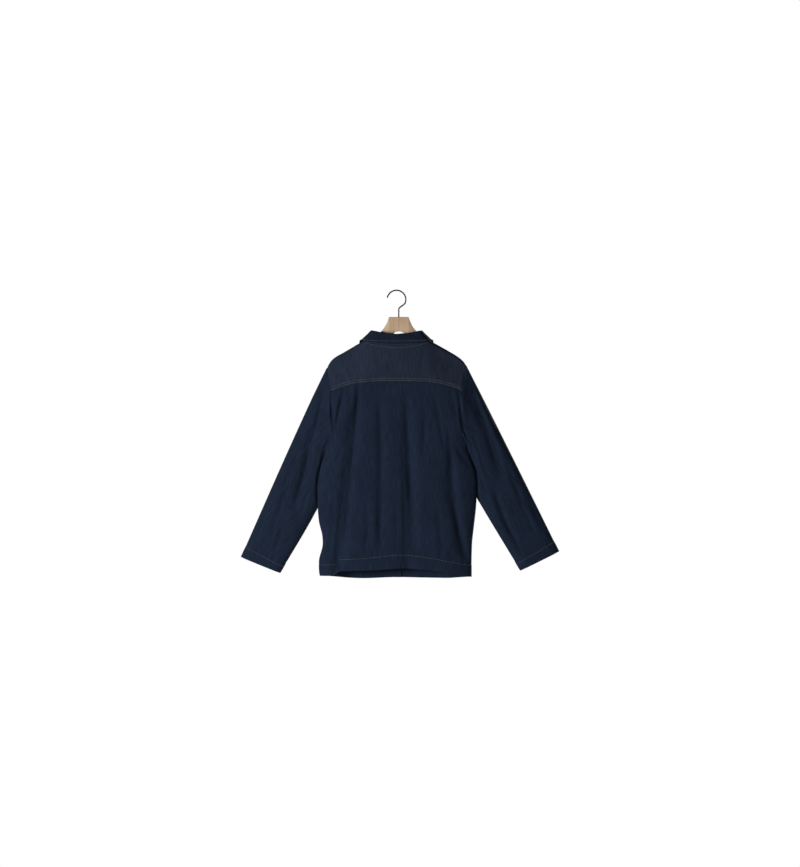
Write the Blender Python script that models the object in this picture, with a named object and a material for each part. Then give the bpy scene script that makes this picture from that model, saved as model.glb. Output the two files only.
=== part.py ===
"""Denim jacket hanging on a wooden hanger, cut and sewn piece by piece.

Metres, +Z up. The origin is the inner top of the hook, where a rail carries it. The jacket's
front faces -Y and its back +Y, so the wearer's left side is at +X.

The cloth is first laid out as one outer skin: body, sleeves and collar share their points along
every seam. Each panel is then cut out of the skin, trimmed by half a seam gap all round, and given
its thickness inwards along the normals of the whole skin, so that neighbours' edges stay parallel.
"""
import math

import bmesh
import bpy
from mathutils import Vector
from mathutils.kdtree import KDTree

# Cloth and sewing
CLOTH = 0.0012
SEAM_GAP = 0.0003
HEM_TURN = 0.0335
HEM_LAYERS = 2.2
HEM_STEP = 0.0015
WELD = 0.00002
CROTCH_REACH = 0.0015
CROTCH_TILT = 1.5
CROTCH_APART = 0.0008

# Neck and shoulders
NECK_HALF = 0.088
NECK_BACK_DROP = 0.026
NECK_FRONT_DROP = 0.082
SHOULDER_SEAM_DROP = 0.016
ROLL = 0.011
BLADE_DROP = 0.12
SHOULDER_RIDGE = (
    # across, height on the left, height on the right
    (0.000, -0.1300, -0.1300),
    (0.060, -0.1315, -0.1315),
    (0.088, -0.1400, -0.1390),
    (0.105, -0.1497, -0.1483),
    (0.150, -0.1763, -0.1735),
    (0.185, -0.1975, -0.1955),
    (0.205, -0.2265, -0.2165),
)
RIDGE_HALF = (
    # across, half the thickness of the rolled shoulder
    (0.000, 0.0340),
    (0.050, 0.0330),
    (0.088, 0.0270),
    (0.120, 0.0180),
    (0.160, 0.0135),
    (0.220, 0.0120),
)

# Body: half width at each height, armhole above the underarm and side below it
SIDE_EDGE = (
    # height, left half width, right half width
    (-0.8300, 0.2215, 0.2187),
    (-0.8178, 0.2248, 0.2187),
    (-0.7850, 0.2265, 0.2190),
    (-0.7323, 0.2152, 0.2205),
    (-0.7134, 0.2161, 0.2222),
    (-0.6670, 0.2265, 0.2278),
    (-0.6293, 0.2297, 0.2318),
    (-0.5655, 0.2314, 0.2350),
    (-0.5336, 0.2277, 0.2335),
    (-0.4901, 0.2190, 0.2205),
    (-0.4524, 0.2045, 0.2065),
    (-0.4030, 0.1895, 0.1900),
    (-0.3450, 0.1885, 0.1850),
    (-0.2760, 0.1928, 0.1929),
    (-0.2200, 0.2015, 0.2015),
)
UNDERARM = {1: -0.4756, -1: -0.4580}
ARMHOLE_OPEN = 0.85
ARMHOLE_ROUND = 0.10
BODY_DEPTH = (
    # height, half depth of the back, half depth of the front
    (-0.850, 0.0280, 0.0270),
    (-0.650, 0.0330, 0.0310),
    (-0.500, 0.0360, 0.0330),
    (-0.350, 0.0360, 0.0330),
    (-0.250, 0.0330, 0.0310),
    (-0.100, 0.0310, 0.0300),
)
YOKE_CENTRE = -0.262
YOKE_FALL = 0.028
YOKE_FALL_AT = 0.19
YOKE_CURVE = 3.2
BACK_HEM = (
    # across, height of the arched hem
    (-0.2240, -0.8285),
    (-0.1600, -0.8180),
    (-0.0900, -0.8070),
    (-0.0130, -0.8025),
    (0.0740, -0.8080),
    (0.1650, -0.8110),
    (0.1800, -0.8240),
    (0.2240, -0.8255),
)
FRONT_HEM = (
    # across, height
    (-0.2240, -0.8285),
    (-0.1380, -0.8340),
    (0.0000, -0.8320),
    (0.0940, -0.8350),
    (0.2240, -0.8255),
)
LAP = 0.0135
LAP_FADE = 0.040
LAYER_SHIFT = 0.0016

# Sleeves: where the outer and the inner edge run, in shares of the sleeve's length
SLEEVE_OUTER = {
    # share, across, height
    1: ((0.00, 0.2015, -0.2200), (0.19, 0.2509, -0.3219), (1.00, 0.4524, -0.7720)),
    -1: ((0.00, 0.2015, -0.2130), (0.24, 0.2712, -0.3495), (1.00, 0.4730, -0.7557)),
}
SLEEVE_INNER = {
    1: (
        (0.00, 0.2117, -0.4756), (0.40, 0.2275, -0.6258), (0.46, 0.2362, -0.6440), (1.00, 0.3384, -0.8187),
    ),
    -1: (
        (0.00, 0.2075, -0.4580), (0.40, 0.2330, -0.5998), (0.46, 0.2433, -0.6180), (1.00, 0.3600, -0.8117),
    ),
}
SLEEVE_DEPTH = (
    # share, half depth, how far the middle lies from the shoulder line
    (0.00, 0.0280, 0.0000),
    (0.10, 0.0290, -0.0090),
    (0.35, 0.0265, -0.0135),
    (0.60, 0.0225, -0.0120),
    (1.00, 0.0165, -0.0180),
)
SLEEVE_SETTLE = 0.22
SLEEVE_CLEAR = 0.0028
SLEEVE_CLEAR_BY = 0.05

# The largest folds, as troughs in the cloth: a line across and down, a width and a depth
BACK_FOLDS = (
    # top across, top height, middle across, middle height, low across, low height, width, depth
    (0.1117, -0.2950, 0.1380, -0.5200, 0.1755, -0.8500, 0.016, 0.012),
    (-0.0131, -0.3200, -0.0350, -0.5300, -0.0334, -0.8500, 0.020, 0.009),
    (0.0479, -0.3300, 0.0479, -0.5300, 0.0400, -0.7400, 0.018, 0.005),
    (-0.1465, -0.4700, -0.1639, -0.6290, -0.2016, -0.8000, 0.017, 0.008),
    (0.1436, -0.2950, 0.1600, -0.3500, 0.1850, -0.4100, 0.012, 0.006),
    (-0.1580, -0.2850, -0.1680, -0.3300, -0.1800, -0.3900, 0.012, 0.006),
    (0.2300, -0.3400, 0.2560, -0.4700, 0.3010, -0.6500, 0.014, 0.007),
    (-0.2276, -0.3000, -0.2700, -0.4300, -0.3100, -0.5600, 0.013, 0.006),
    (-0.2800, -0.5600, -0.3100, -0.6600, -0.3500, -0.7400, 0.012, 0.005),
)
FRONT_FOLDS = (
    (0.1050, -0.3000, 0.1250, -0.5500, 0.1480, -0.8600, 0.018, 0.009),
    (-0.1100, -0.3200, -0.1180, -0.5600, -0.1550, -0.8600, 0.018, 0.009),
    (0.0600, -0.4200, 0.0640, -0.6000, 0.0620, -0.8000, 0.018, 0.004),
    (-0.0560, -0.4600, -0.0600, -0.6400, -0.0700, -0.8600, 0.017, 0.005),
    (0.2350, -0.3600, 0.2650, -0.5000, 0.3100, -0.6600, 0.014, 0.006),
    (-0.2400, -0.3600, -0.2750, -0.5000, -0.3250, -0.6700, 0.014, 0.006),
)
FOLD_FADE = 0.07
FOLD_ROOM = 0.012

# Collar: stand, fold and fall, at stations round the neck from the centre back
STAND_HEIGHT = 0.80
COLLAR_APART = 0.0015
FALL_CLEAR = 0.0040
FOLD_ROLL = 0.0024
COLLAR_SHAPE = (
    # station, fold across, fold height, edge across, edge height, edge's distance from the body
    (0.00, 0.0000, -0.1253, 0.0000, -0.1530, 0.0085),
    (0.18, 0.0350, -0.1215, 0.0500, -0.1515, 0.0082),
    (0.32, 0.0600, -0.1165, 0.0830, -0.1487, 0.0072),
    (0.46, 0.0730, -0.1135, 0.1010, -0.1440, 0.0040),
    (0.58, 0.0720, -0.1230, 0.1040, -0.1670, 0.0035),
    (0.72, 0.0600, -0.1480, 0.0930, -0.2030, 0.0032),
    (0.86, 0.0370, -0.1720, 0.0760, -0.2330, 0.0030),
    (1.00, 0.0040, -0.1860, 0.0560, -0.2620, 0.0030),
)
FOLD_DEPTH = (
    # station, how far the fold stands behind or before the shoulder line
    (0.00, 0.0290),
    (0.32, 0.0220),
    (0.46, 0.0060),
    (0.58, -0.0200),
    (0.72, -0.0320),
    (1.00, -0.0380),
)

# Mesh of the cloth: steps, how they crowd towards one end, and tries to find a point on two seams
SETTLE_TRIES = 12
COLUMN_SPREAD = math.radians(72)
ARMHOLE_POWER = 1.5
SIDE_POWER = 1.15
RING_POWER = 1.25
FRONT_SETTLE = 0.3
SMOOTH_CLOTH = math.radians(40)
SMOOTH_WOOD = math.radians(50)
NECK_STEPS = 7
FRONT_NECK_STEPS = 5
SHOULDER_STEPS = 8
YOKE_ROWS = 6
OVER_ROWS = 3
ARMHOLE_ROWS = 7
FRONT_TOP_ROWS = 3
SIDE_ROWS = 13
SLEEVE_ROWS = 12
STAND_ROWS = 2
FALL_ROWS = 4

# Buttons
BUTTON_HEIGHTS = (-0.245, -0.355, -0.465, -0.575, -0.685)
BUTTON_RADIUS = 0.0085
BUTTON_THICK = 0.0032
BUTTON_STEPS = 20
BUTTON_PROFILE = (
    # share of the radius, share of the thickness: from the dished middle over the rim to the back
    (0.00, 0.75),
    (0.62, 0.75),
    (0.78, 1.00),
    (0.94, 0.85),
    (1.00, 0.50),
    (0.92, 0.00),
    (0.00, 0.00),
)

# Hanger
HANGER_X = -0.0067
WIRE = 0.0019
HOOK_RADIUS = 0.0250
HOOK_TIP_TURN = math.radians(78)
HOOK_BACK_TURN = math.radians(-106)
HOOK_STEM_TOP = -0.0530
HOOK_STEPS = 20
STEM_STEPS = 5
WIRE_RESOLUTION = 2
WOOD_TOP = -0.0754
WOOD_HALF = 0.0060
WOOD_ROUND = 0.0025
WOOD_CROWN = 0.0015
WOOD_CLEAR = 0.0006
ARM_STEPS = 12
ARM_END_FROM = 0.155
ARM_END_RUN = 0.030
ARM_END_DROP = 0.0020
WOOD_OUTLINE = (
    # from the stem, top edge, bottom edge; the arms' top follows the shoulders
    (0.0000, -0.0754, -0.1170),
    (0.0100, -0.0754, -0.1190),
    (0.0180, -0.0754, -0.1270),
    (0.0283, -0.0756, -0.1370),
    (0.0320, -0.0860, -0.1405),
    (0.0370, -0.0975, -0.1450),
    (0.0430, -0.1075, -0.1500),
    (0.0500, -0.1160, -0.1555),
    (0.0600, -0.1275, -0.1625),
    (0.0720, -0.1385, -0.1700),
    (0.0860, -0.1470, -0.1780),
    (0.1050, -0.1550, -0.1875),
    (0.1300, -0.1700, -0.1985),
    (0.1550, -0.1850, -0.2100),
    (0.1750, -0.1960, -0.2200),
    (0.1880, -0.2080, -0.2260),
)
WOOD_SEATED_FROM = 0.100

# Colours: red, green, blue, roughness, metallic
DENIM = (0.012, 0.018, 0.034, 0.92, 0.0)
YOKE_DENIM = (0.016, 0.023, 0.035, 0.92, 0.0)
BEECH = (0.52, 0.36, 0.22, 0.55, 0.0)
STEEL = (0.10, 0.09, 0.09, 0.35, 0.9)
BUTTON_METAL = (0.30, 0.22, 0.14, 0.40, 0.9)


def slope(table, row, column):
    """Slope of a smooth curve at one of its rows."""
    steps = []
    for low, high in ((row - 1, row), (row, row + 1)):
        if low >= 0 and high < len(table):
            run = table[high][0] - table[low][0]
            steps.append((table[high][column] - table[low][column]) / run)
    if len(steps) == 1:
        return steps[0]
    before, after = steps
    if before * after <= 0:
        return 0.0
    return 2 * before * after / (before + after)


def between(table, at, column=1):
    """A column's value at a place between the rows, on a smooth curve through them."""
    if at <= table[0][0]:
        return table[0][column]
    if at >= table[-1][0]:
        return table[-1][column]
    row = 0
    while table[row + 1][0] < at:
        row += 1
    low, high = table[row], table[row + 1]
    run = high[0] - low[0]
    share = (at - low[0]) / run
    rise = high[column] - low[column]
    start = slope(table, row, column) * run
    end = slope(table, row + 1, column) * run
    bend = start * (1 - share) - end * share + rise * (2 * share - 1)
    return low[column] + rise * share + share * (1 - share) * bend


def ease(share):
    """Smooth step from 0 to 1."""
    share = min(max(share, 0.0), 1.0)
    return share * share * (3 - 2 * share)


def mix(low, high, share):
    """Value between two others."""
    return low + (high - low) * share


# The form of the hanging body


def side_of(x):
    """1 on the wearer's left, -1 on the right."""
    return 1 if x >= 0 else -1


def ridge(x):
    """Height of the shoulder line."""
    return between(SHOULDER_RIDGE, abs(x), 1 if x >= 0 else 2)


def edge(z, side):
    """Half width of the body at a height."""
    return between(SIDE_EDGE, z, 1 if side > 0 else 2)


def openness(z, side):
    """How open the body is at its edge: 0 at a closed side, more in an armhole."""
    share = min(max((z - UNDERARM[side]) / ARMHOLE_ROUND, 0.0), 1.0)
    return ARMHOLE_OPEN * math.sqrt(1 - (1 - share) ** 2)


def trough(folds, x, z):
    """Depth of the folds at a point, as seen from behind or before."""
    depth = 0.0
    for top_x, top, middle_x, middle, low_x, low, width, deep in folds:
        if low < z < top:
            line = ((low, low_x), (middle, middle_x), (top, top_x))
            away = (x - between(line, z)) / width
            fade = ease((top - z) / FOLD_FADE) * ease((z - low) / FOLD_FADE)
            depth += deep * fade * math.exp(-away * away)
    return depth


def folded(x, z, reach, face):
    """Half depth of the cloth with its folds pressed in."""
    folds = BACK_FOLDS if face > 0 else FRONT_FOLDS
    return reach - trough(folds, x, z) * min(1.0, max(reach, 0.0) / FOLD_ROOM)


def body_point(x, z, face):
    """Point on the outside of the body, behind (face 1) or before (face -1) the shoulder line."""
    drop = max(ridge(x) - z, 0.0)
    rolled = between(RIDGE_HALF, abs(x))
    if drop < ROLL:
        reach = rolled * math.sqrt(max(0.0, 1 - (1 - drop / ROLL) ** 2))
    else:
        full = between(BODY_DEPTH, z, 1 if face > 0 else 2)
        reach = mix(rolled, full, ease((drop - ROLL) / BLADE_DROP))
    side = side_of(x)
    across = min(abs(x) / edge(z, side), 1.0)
    closing = 1 - (1 - openness(z, side) ** 2) * across ** 4
    reach *= math.sqrt(max(0.0, closing))
    return Vector((x, face * folded(x, z, reach, face), z))


def yoke_seam(x):
    """Height of the curved seam between yoke and back panel."""
    return YOKE_CENTRE - YOKE_FALL * (abs(x) / YOKE_FALL_AT) ** YOKE_CURVE


def armhole_at_drop(drop, side):
    """Where the armhole seam lies at a drop below the shoulder line."""
    across = edge(UNDERARM[side], side)
    for _ in range(SETTLE_TRIES):
        across = edge(ridge(side * across) - drop, side)
    return side * across


def armhole_at_yoke(share, side):
    """Where the armhole seam lies at a share of the way from shoulder line to yoke seam."""
    x = armhole_at_drop(0.0, side)
    for _ in range(SETTLE_TRIES):
        drop = (ridge(x) - yoke_seam(x)) * share
        x = armhole_at_drop(drop, side)
    return x


def neck_back(angle, side):
    """Neck seam behind the shoulder line, angle from the centre back: place across, drop."""
    return side * NECK_HALF * math.sin(angle), NECK_BACK_DROP * math.cos(angle)


def neck_front(drop, side):
    """Neck seam before the shoulder line at a drop."""
    return side * NECK_HALF * math.sqrt(max(0.0, 1 - (drop / NECK_FRONT_DROP) ** 2))


def columns_at_edge(count):
    """Shares of the half width, closer together near the side."""
    whole = math.sin(COLUMN_SPREAD)
    return [math.sin(COLUMN_SPREAD * step / count) / whole for step in range(count + 1)]


def over_drops():
    """Drops of the yoke's rows before the shoulder line."""
    return [SHOULDER_SEAM_DROP * (row / OVER_ROWS) ** 2 for row in range(OVER_ROWS + 1)]


def mirrored(half):
    """Rows of both halves, right to left, from a function of the side and its half's rows."""
    left, right = half(1), half(-1)
    return [list(reversed(right_row))[:-1] + left_row for left_row, right_row in zip(left, right)]


# Panels: each is a list of grids, a grid a list of rows of points


def yoke_half(side):
    """Rows of half a yoke behind the shoulder line, from the seam up, from the centre out."""
    columns = NECK_STEPS + SHOULDER_STEPS
    shares = columns_at_edge(columns)
    rows = []
    for row in range(YOKE_ROWS, -1, -1):
        down = (row / YOKE_ROWS) ** 2
        armhole = armhole_at_yoke(down, side)
        points = []
        for column in range(columns + 1):
            low_x = armhole * shares[column]
            if column <= NECK_STEPS:
                top_x, neck_drop = neck_back(math.pi / 2 * column / NECK_STEPS, side)
            else:
                outward = (column - NECK_STEPS) / SHOULDER_STEPS
                top_x, neck_drop = mix(side * NECK_HALF, armhole, outward), 0.0
            x = mix(top_x, low_x, down)
            top = ridge(x) - neck_drop * (1 - down)
            points.append(body_point(x, mix(top, yoke_seam(x), down), 1))
        rows.append(points)
    return rows


def yoke_over(side):
    """Rows of the yoke before the shoulder line, from the line down to the front seam."""
    rows = []
    for drop in over_drops():
        neck, armhole = neck_front(drop, side), armhole_at_drop(drop, side)
        points = []
        for column in range(SHOULDER_STEPS + 1):
            x = mix(neck, armhole, column / SHOULDER_STEPS)
            points.append(body_point(x, ridge(x) - drop, -1))
        rows.append(points)
    return rows


def side_heights(side, hem):
    """Heights of the rows along armhole and side seam, from the yoke seam to the hem."""
    under = UNDERARM[side]
    start = yoke_seam(armhole_at_yoke(1.0, side))
    ups = [(1 - row / ARMHOLE_ROWS) ** ARMHOLE_POWER for row in range(ARMHOLE_ROWS)]
    heights = [mix(under, start, up) for up in ups]
    turn = hem + HEM_TURN
    downs = [(row / SIDE_ROWS) ** SIDE_POWER for row in range(SIDE_ROWS + 1)]
    heights += [mix(under, turn + HEM_STEP, down) for down in downs]
    return heights + [turn, hem]


def shares_down(side, hem):
    """How far down the side each row ends, as shares from the yoke seam to the hem."""
    heights = side_heights(side, hem)
    return heights, [(heights[0] - height) / (heights[0] - heights[-1]) for height in heights]


def back_half(side):
    """Rows of half the back panel, from the yoke seam down, from the centre out."""
    shares = columns_at_edge(NECK_STEPS + SHOULDER_STEPS)
    heights, downs = shares_down(side, between(BACK_HEM, side * BACK_HEM[-1][0]))
    _, others = shares_down(-side, between(BACK_HEM, -side * BACK_HEM[-1][0]))
    armhole = armhole_at_yoke(1.0, side)
    rows = []
    for height, own, other in zip(heights, downs, others):
        points = []
        for share in shares:
            x = side * edge(height, side) * share
            if height == heights[0]:
                x = armhole * share
            down = mix((own + other) / 2, own, share)
            points.append(body_point(x, mix(yoke_seam(x), between(BACK_HEM, x), down), 1))
        points[-1] = body_point(side * edge(height, side), height, 1)
        if height == heights[0]:
            points[-1] = body_point(armhole, yoke_seam(armhole), 1)
        rows.append(points)
    return rows


def front_half(side):
    """Rows of a front, from shoulder and neck down, from its lapped edge out to the side."""
    columns = FRONT_NECK_STEPS + SHOULDER_STEPS
    shares = columns_at_edge(columns)
    low = side_heights(side, between(FRONT_HEM, side * FRONT_HEM[-1][0]))
    corner = armhole_at_drop(SHOULDER_SEAM_DROP, side)
    top = ridge(corner) - SHOULDER_SEAM_DROP
    heights = [mix(top, low[0], row / FRONT_TOP_ROWS) for row in range(FRONT_TOP_ROWS)] + low
    yoke_level = armhole_at_yoke(1.0, side)
    lap_drop = NECK_FRONT_DROP * math.sqrt(1 - (LAP / NECK_HALF) ** 2)
    first = math.asin(SHOULDER_SEAM_DROP / NECK_FRONT_DROP)
    tops = [(-side * LAP, lap_drop)]
    for column in range(columns + 1):
        if column <= FRONT_NECK_STEPS:
            drop = NECK_FRONT_DROP * math.sin(mix(math.pi / 2, first, column / FRONT_NECK_STEPS))
            tops.append((neck_front(drop, side), drop))
        else:
            neck = neck_front(SHOULDER_SEAM_DROP, side)
            outward = (column - FRONT_NECK_STEPS) / SHOULDER_STEPS
            tops.append((mix(neck, corner, outward), SHOULDER_SEAM_DROP))
    rows = []
    for height in heights:
        down = (heights[0] - height) / (heights[0] - heights[-1])
        settled = ease(down / FRONT_SETTLE)
        width = abs(corner) if height == heights[0] else edge(height, side)
        points = []
        for column, (top_x, drop) in enumerate(tops):
            share = -LAP / width if column == 0 else shares[column - 1]
            top_share = side * top_x / abs(corner)
            x = side * width * mix(top_share, share, settled)
            if column == 0:
                x = -side * LAP
            top_z = ridge(top_x) - drop
            hem = between(FRONT_HEM, side * width * share)
            z = height if column == len(tops) - 1 else mix(top_z, hem, down)
            if column == len(tops) - 1 and height == low[0]:
                x = yoke_level
            point = body_point(x, z, -1)
            point.y += side * LAYER_SHIFT * (1 - ease((abs(x) - LAP) / (LAP_FADE - LAP)))
            points.append(point)
        rows.append(points)
    return rows


def armhole_loop(back, over, yoke, front):
    """Points of the armhole seam from the underarm up the back and down the front, and its top.

    The yoke's rows behind the shoulder line run up from its seam.
    """
    behind = [row[-1] for row in back[: ARMHOLE_ROWS + 1]]
    up = list(reversed(behind)) + [row[-1] for row in yoke[1:]]
    rows_down = FRONT_TOP_ROWS + ARMHOLE_ROWS
    down = [row[-1] for row in over[1:]] + [row[-1] for row in front[1:rows_down]]
    return up + down, len(up) - 1


def sleeve_rows(side, loop, top):
    """Rings of a sleeve from the armhole to the cuff, each with as many points as the armhole."""
    outer, inner = SLEEVE_OUTER[side], SLEEVE_INNER[side]
    loop = [loop[0] + Vector((side * CROTCH_APART, 0, 0))] + loop[1:]
    length = math.dist(outer[0][1:], outer[1][1:]) + math.dist(outer[1][1:], outer[2][1:])
    turn = HEM_TURN / length
    step = HEM_STEP / length
    shares = [(row / SLEEVE_ROWS) ** RING_POWER * (1 - turn - step) for row in range(SLEEVE_ROWS + 1)]
    shares += [1 - turn, 1.0]
    first_out, first_in = loop[top], loop[0]
    half = (first_out - first_in) / 2
    middle = (first_out + first_in) / 2
    starts, settled = [], []
    for index, point in enumerate(loop):
        along = (point - middle).dot(half) / half.length_squared
        turned = math.acos(min(max(along, -1.0), 1.0))
        starts.append(turned if index <= top else -turned)
        if index <= top:
            settled.append(math.pi * (1 - index / top))
        else:
            settled.append(-math.pi * (index - top) / (len(loop) - top))
    rings = []
    for share in shares:
        out_x, out_z = between(outer, share), between(outer, share, 2)
        in_x, in_z = between(inner, share), between(inner, share, 2)
        clear = SLEEVE_CLEAR * ease(share / SLEEVE_CLEAR_BY)
        in_x = max(in_x, edge(in_z, side) + clear)
        out_at, in_at = Vector((side * out_x, 0, out_z)), Vector((side * in_x, 0, in_z))
        if share == 0:
            out_at, in_at = first_out, first_in
        depth, shift = between(SLEEVE_DEPTH, share), between(SLEEVE_DEPTH, share, 2)
        free = ease(share / SLEEVE_SETTLE)
        ring = []
        for index, point in enumerate(loop):
            turned = mix(starts[index], settled[index], free)
            face = 1 if turned >= 0 else -1
            centre, reach = (out_at + in_at) / 2, (out_at - in_at) / 2
            place = centre + reach * math.cos(turned)
            bulge = depth * abs(math.sin(turned)) * math.sqrt(1 + math.cos(turned) ** 2)
            place.y = face * folded(place.x, place.z, bulge, face) + shift
            base = middle + half * math.cos(starts[index])
            start_bulge = SLEEVE_DEPTH[0][1] * abs(math.sin(starts[index]))
            start_bulge *= math.sqrt(1 + math.cos(starts[index]) ** 2)
            base.y = face * folded(base.x, base.z, start_bulge, face)
            ring.append(place + (point - base) * (1 - free))
        rings.append(ring)
    if side < 0:
        rings = [list(reversed(ring)) for ring in rings]
    return [ring + ring[:1] for ring in rings]


def neck_ring():
    """Neck seam from the left centre front round the back to the right centre front."""
    first = math.asin(SHOULDER_SEAM_DROP / NECK_FRONT_DROP)
    front = []
    for column in range(FRONT_NECK_STEPS + 1):
        angle = mix(math.pi / 2, first, column / FRONT_NECK_STEPS)
        front.append(NECK_FRONT_DROP * math.sin(angle))
    drops = front + list(reversed(over_drops()))[1:]
    halves = []
    for side in (1, -1):
        places = []
        for drop in drops:
            x = neck_front(drop, side)
            places.append(body_point(x, ridge(x) - drop, -1))
        for column in range(NECK_STEPS - 1, -1, -1):
            x, drop = neck_back(math.pi / 2 * column / NECK_STEPS, side)
            places.append(body_point(x, ridge(x) - drop, 1))
        halves.append(places)
    for side, places in zip((1, -1), halves):
        places[0].x = side * COLLAR_APART
    return halves[0] + list(reversed(halves[1]))[1:]


def collar_stations(ring):
    """Share of the way from centre back to centre front for each point of the neck seam."""
    middle = len(ring) // 2
    travelled = [0.0]
    for before, after in zip(ring, ring[1:]):
        travelled.append(travelled[-1] + (after - before).length)
    centre = travelled[middle]
    shares = []
    for index, way in enumerate(travelled):
        whole = centre if index <= middle else travelled[-1] - centre
        shares.append((abs(way - centre) / whole, 1 if index <= middle else -1))
    return shares


def clear_of_body(point, gap):
    """A point moved out of the body until a gap lies between them."""
    face = 1 if point.y >= 0 else -1
    drop = ridge(point.x) - point.z
    if drop < ROLL:
        rolled = between(RIDGE_HALF, abs(point.x)) + gap
        high = (ROLL - drop) / (ROLL + gap)
        away = math.hypot(point.y / rolled, high)
        if 0 < away < 1:
            top = ridge(point.x) - ROLL + high / away * (ROLL + gap)
            return Vector((point.x, point.y / away, top))
        return point
    reach = abs(body_point(point.x, point.z, face).y) + gap
    return Vector((point.x, face * max(abs(point.y), reach), point.z))


def collar_rows():
    """Rows of the collar stand and of the fall, on the side of the cloth that faces the other."""
    ring = neck_ring()
    stations = collar_stations(ring)
    stand = [[] for _ in range(STAND_ROWS + 1)]
    fall = [[] for _ in range(3 + FALL_ROWS)]
    for index, (base, (share, side)) in enumerate(zip(ring, stations)):
        fold = Vector((side * between(COLLAR_SHAPE, share), 0, between(COLLAR_SHAPE, share, 2)))
        fold.y = between(FOLD_DEPTH, share)
        fold.z -= CLOTH
        low_x, low_z = between(COLLAR_SHAPE, share, 3), between(COLLAR_SHAPE, share, 4)
        low = body_point(side * low_x, low_z, 1 if share < COLLAR_SHAPE[3][0] else -1)
        along = ring[min(index + 1, len(ring) - 1)] - ring[max(index - 1, 0)]
        outward = Vector((-along.y, along.x, 0)).normalized() * -1
        low += outward * between(COLLAR_SHAPE, share, 5)
        inner = fold - outward * FOLD_ROLL
        inner.z -= FOLD_ROLL
        seam = base.lerp(inner, STAND_HEIGHT)
        for row in range(STAND_ROWS + 1):
            stand[row].append(base.lerp(seam, row / STAND_ROWS))
        outer = fold + outward * FOLD_ROLL
        outer.z -= FOLD_ROLL
        points = [seam, inner, fold.copy(), outer]
        for row in range(1, FALL_ROWS):
            down = row / (FALL_ROWS - 1)
            points.append(clear_of_body(outer.lerp(low, down), FALL_CLEAR))
        for row, point in enumerate(points):
            fall[row].append(point)
    return stand, fall


# From the skin to solid cloth


def panel_mesh(grids, turned_rows):
    """One welded surface from grids of points, with its last rows turned up as a hem."""
    surface = bmesh.new()
    layers = surface.verts.layers.float.new("layers")
    for rows in grids:
        made = [[surface.verts.new(point) for point in row] for row in rows]
        for index, row in enumerate(made):
            for vert in row:
                vert[layers] = HEM_LAYERS if index >= len(rows) - turned_rows else 1.0
        for upper, lower in zip(made, made[1:]):
            for column in range(len(upper) - 1):
                corners = (upper[column], upper[column + 1], lower[column + 1], lower[column])
                surface.faces.new(corners)
    bmesh.ops.remove_doubles(surface, verts=surface.verts, dist=WELD)
    surface.normal_update()
    return surface


def shared_normals(surfaces):
    """Outward normals of the whole skin at every point of each surface."""
    places, directions = [], []
    for surface in surfaces.values():
        for face in surface.faces:
            for corner in face.loops:
                places.append(corner.vert.co.copy())
                directions.append(face.normal * corner.calc_angle())
    tree = KDTree(len(places))
    for index, place in enumerate(places):
        tree.insert(place, index)
    tree.balance()
    crotches = [body_point(side * edge(UNDERARM[side], side), UNDERARM[side], 1) for side in (1, -1)]
    normals = {}
    for name, surface in surfaces.items():
        normals[name] = []
        for vert in surface.verts:
            total = Vector()
            for _, index, _ in tree.find_range(vert.co, WELD):
                total += directions[index]
            if min((vert.co - crotch).length for crotch in crotches) < CROTCH_REACH:
                facing = side_of(vert.co.x) * (-1 if name.startswith("sleeve") else 1)
                total = Vector((facing * CROTCH_TILT, 0, -1))
            normals[name].append(total.normalized())
    return normals


def trimmed(surface, amount):
    """Points of a surface with its edges drawn in by an amount."""
    inward = {}
    for rim in surface.edges:
        if rim.is_boundary:
            face = rim.link_faces[0]
            corner = next(loop for loop in face.loops if loop.edge == rim)
            along = corner.link_loop_next.vert.co - corner.vert.co
            for vert in rim.verts:
                inward.setdefault(vert.index, []).append(face.normal.cross(along).normalized())
    points = [vert.co.copy() for vert in surface.verts]
    for index, ways in inward.items():
        if len(ways) == 2:
            points[index] += (ways[0] + ways[1]) * amount / max(0.5, 1 + ways[0].dot(ways[1]))
    return points


def cloth_solid(name, surface, normals):
    """A closed wall of cloth, its outer face trimmed and its inner face moved in."""
    surface.verts.index_update()
    layers = surface.verts.layers.float["layers"]
    thickness = [CLOTH * vert[layers] for vert in surface.verts]
    outer = trimmed(surface, SEAM_GAP / 2)
    bmesh.ops.triangulate(surface, faces=surface.faces, quad_method="SHORT_EDGE")
    wall = bmesh.new()
    tops = [wall.verts.new(point) for point in outer]
    lows = [
        wall.verts.new(point - normal * deep) for point, normal, deep in zip(outer, normals, thickness)
    ]
    for face in surface.faces:
        corners = [vert.index for vert in face.verts]
        wall.faces.new([tops[corner] for corner in corners])
        wall.faces.new([lows[corner] for corner in reversed(corners)])
    for rim in surface.edges:
        if rim.is_boundary:
            first, second = (vert.index for vert in rim.verts)
            wall.faces.new((tops[first], tops[second], lows[second], lows[first]))
    bmesh.ops.recalc_face_normals(wall, faces=wall.faces)
    return finish(name, wall)


def finish(name, shape, smooth=SMOOTH_CLOTH):
    """Turn a shape into a named, smoothly shaded object."""
    mesh = bpy.data.meshes.new(name)
    shape.to_mesh(mesh)
    shape.free()
    mesh.shade_smooth()
    mesh.set_sharp_from_angle(angle=smooth)
    made = bpy.data.objects.new(name, mesh)
    bpy.context.scene.collection.objects.link(made)
    return made


def material(name, colour):
    """A plain material of one colour."""
    made = bpy.data.materials.new(name)
    made.use_nodes = True
    shader = made.node_tree.nodes["Principled BSDF"]
    shader.inputs["Base Color"].default_value = (*colour[:3], 1)
    shader.inputs["Roughness"].default_value = colour[3]
    shader.inputs["Metallic"].default_value = colour[4]
    return made


# Hard pieces


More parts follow.
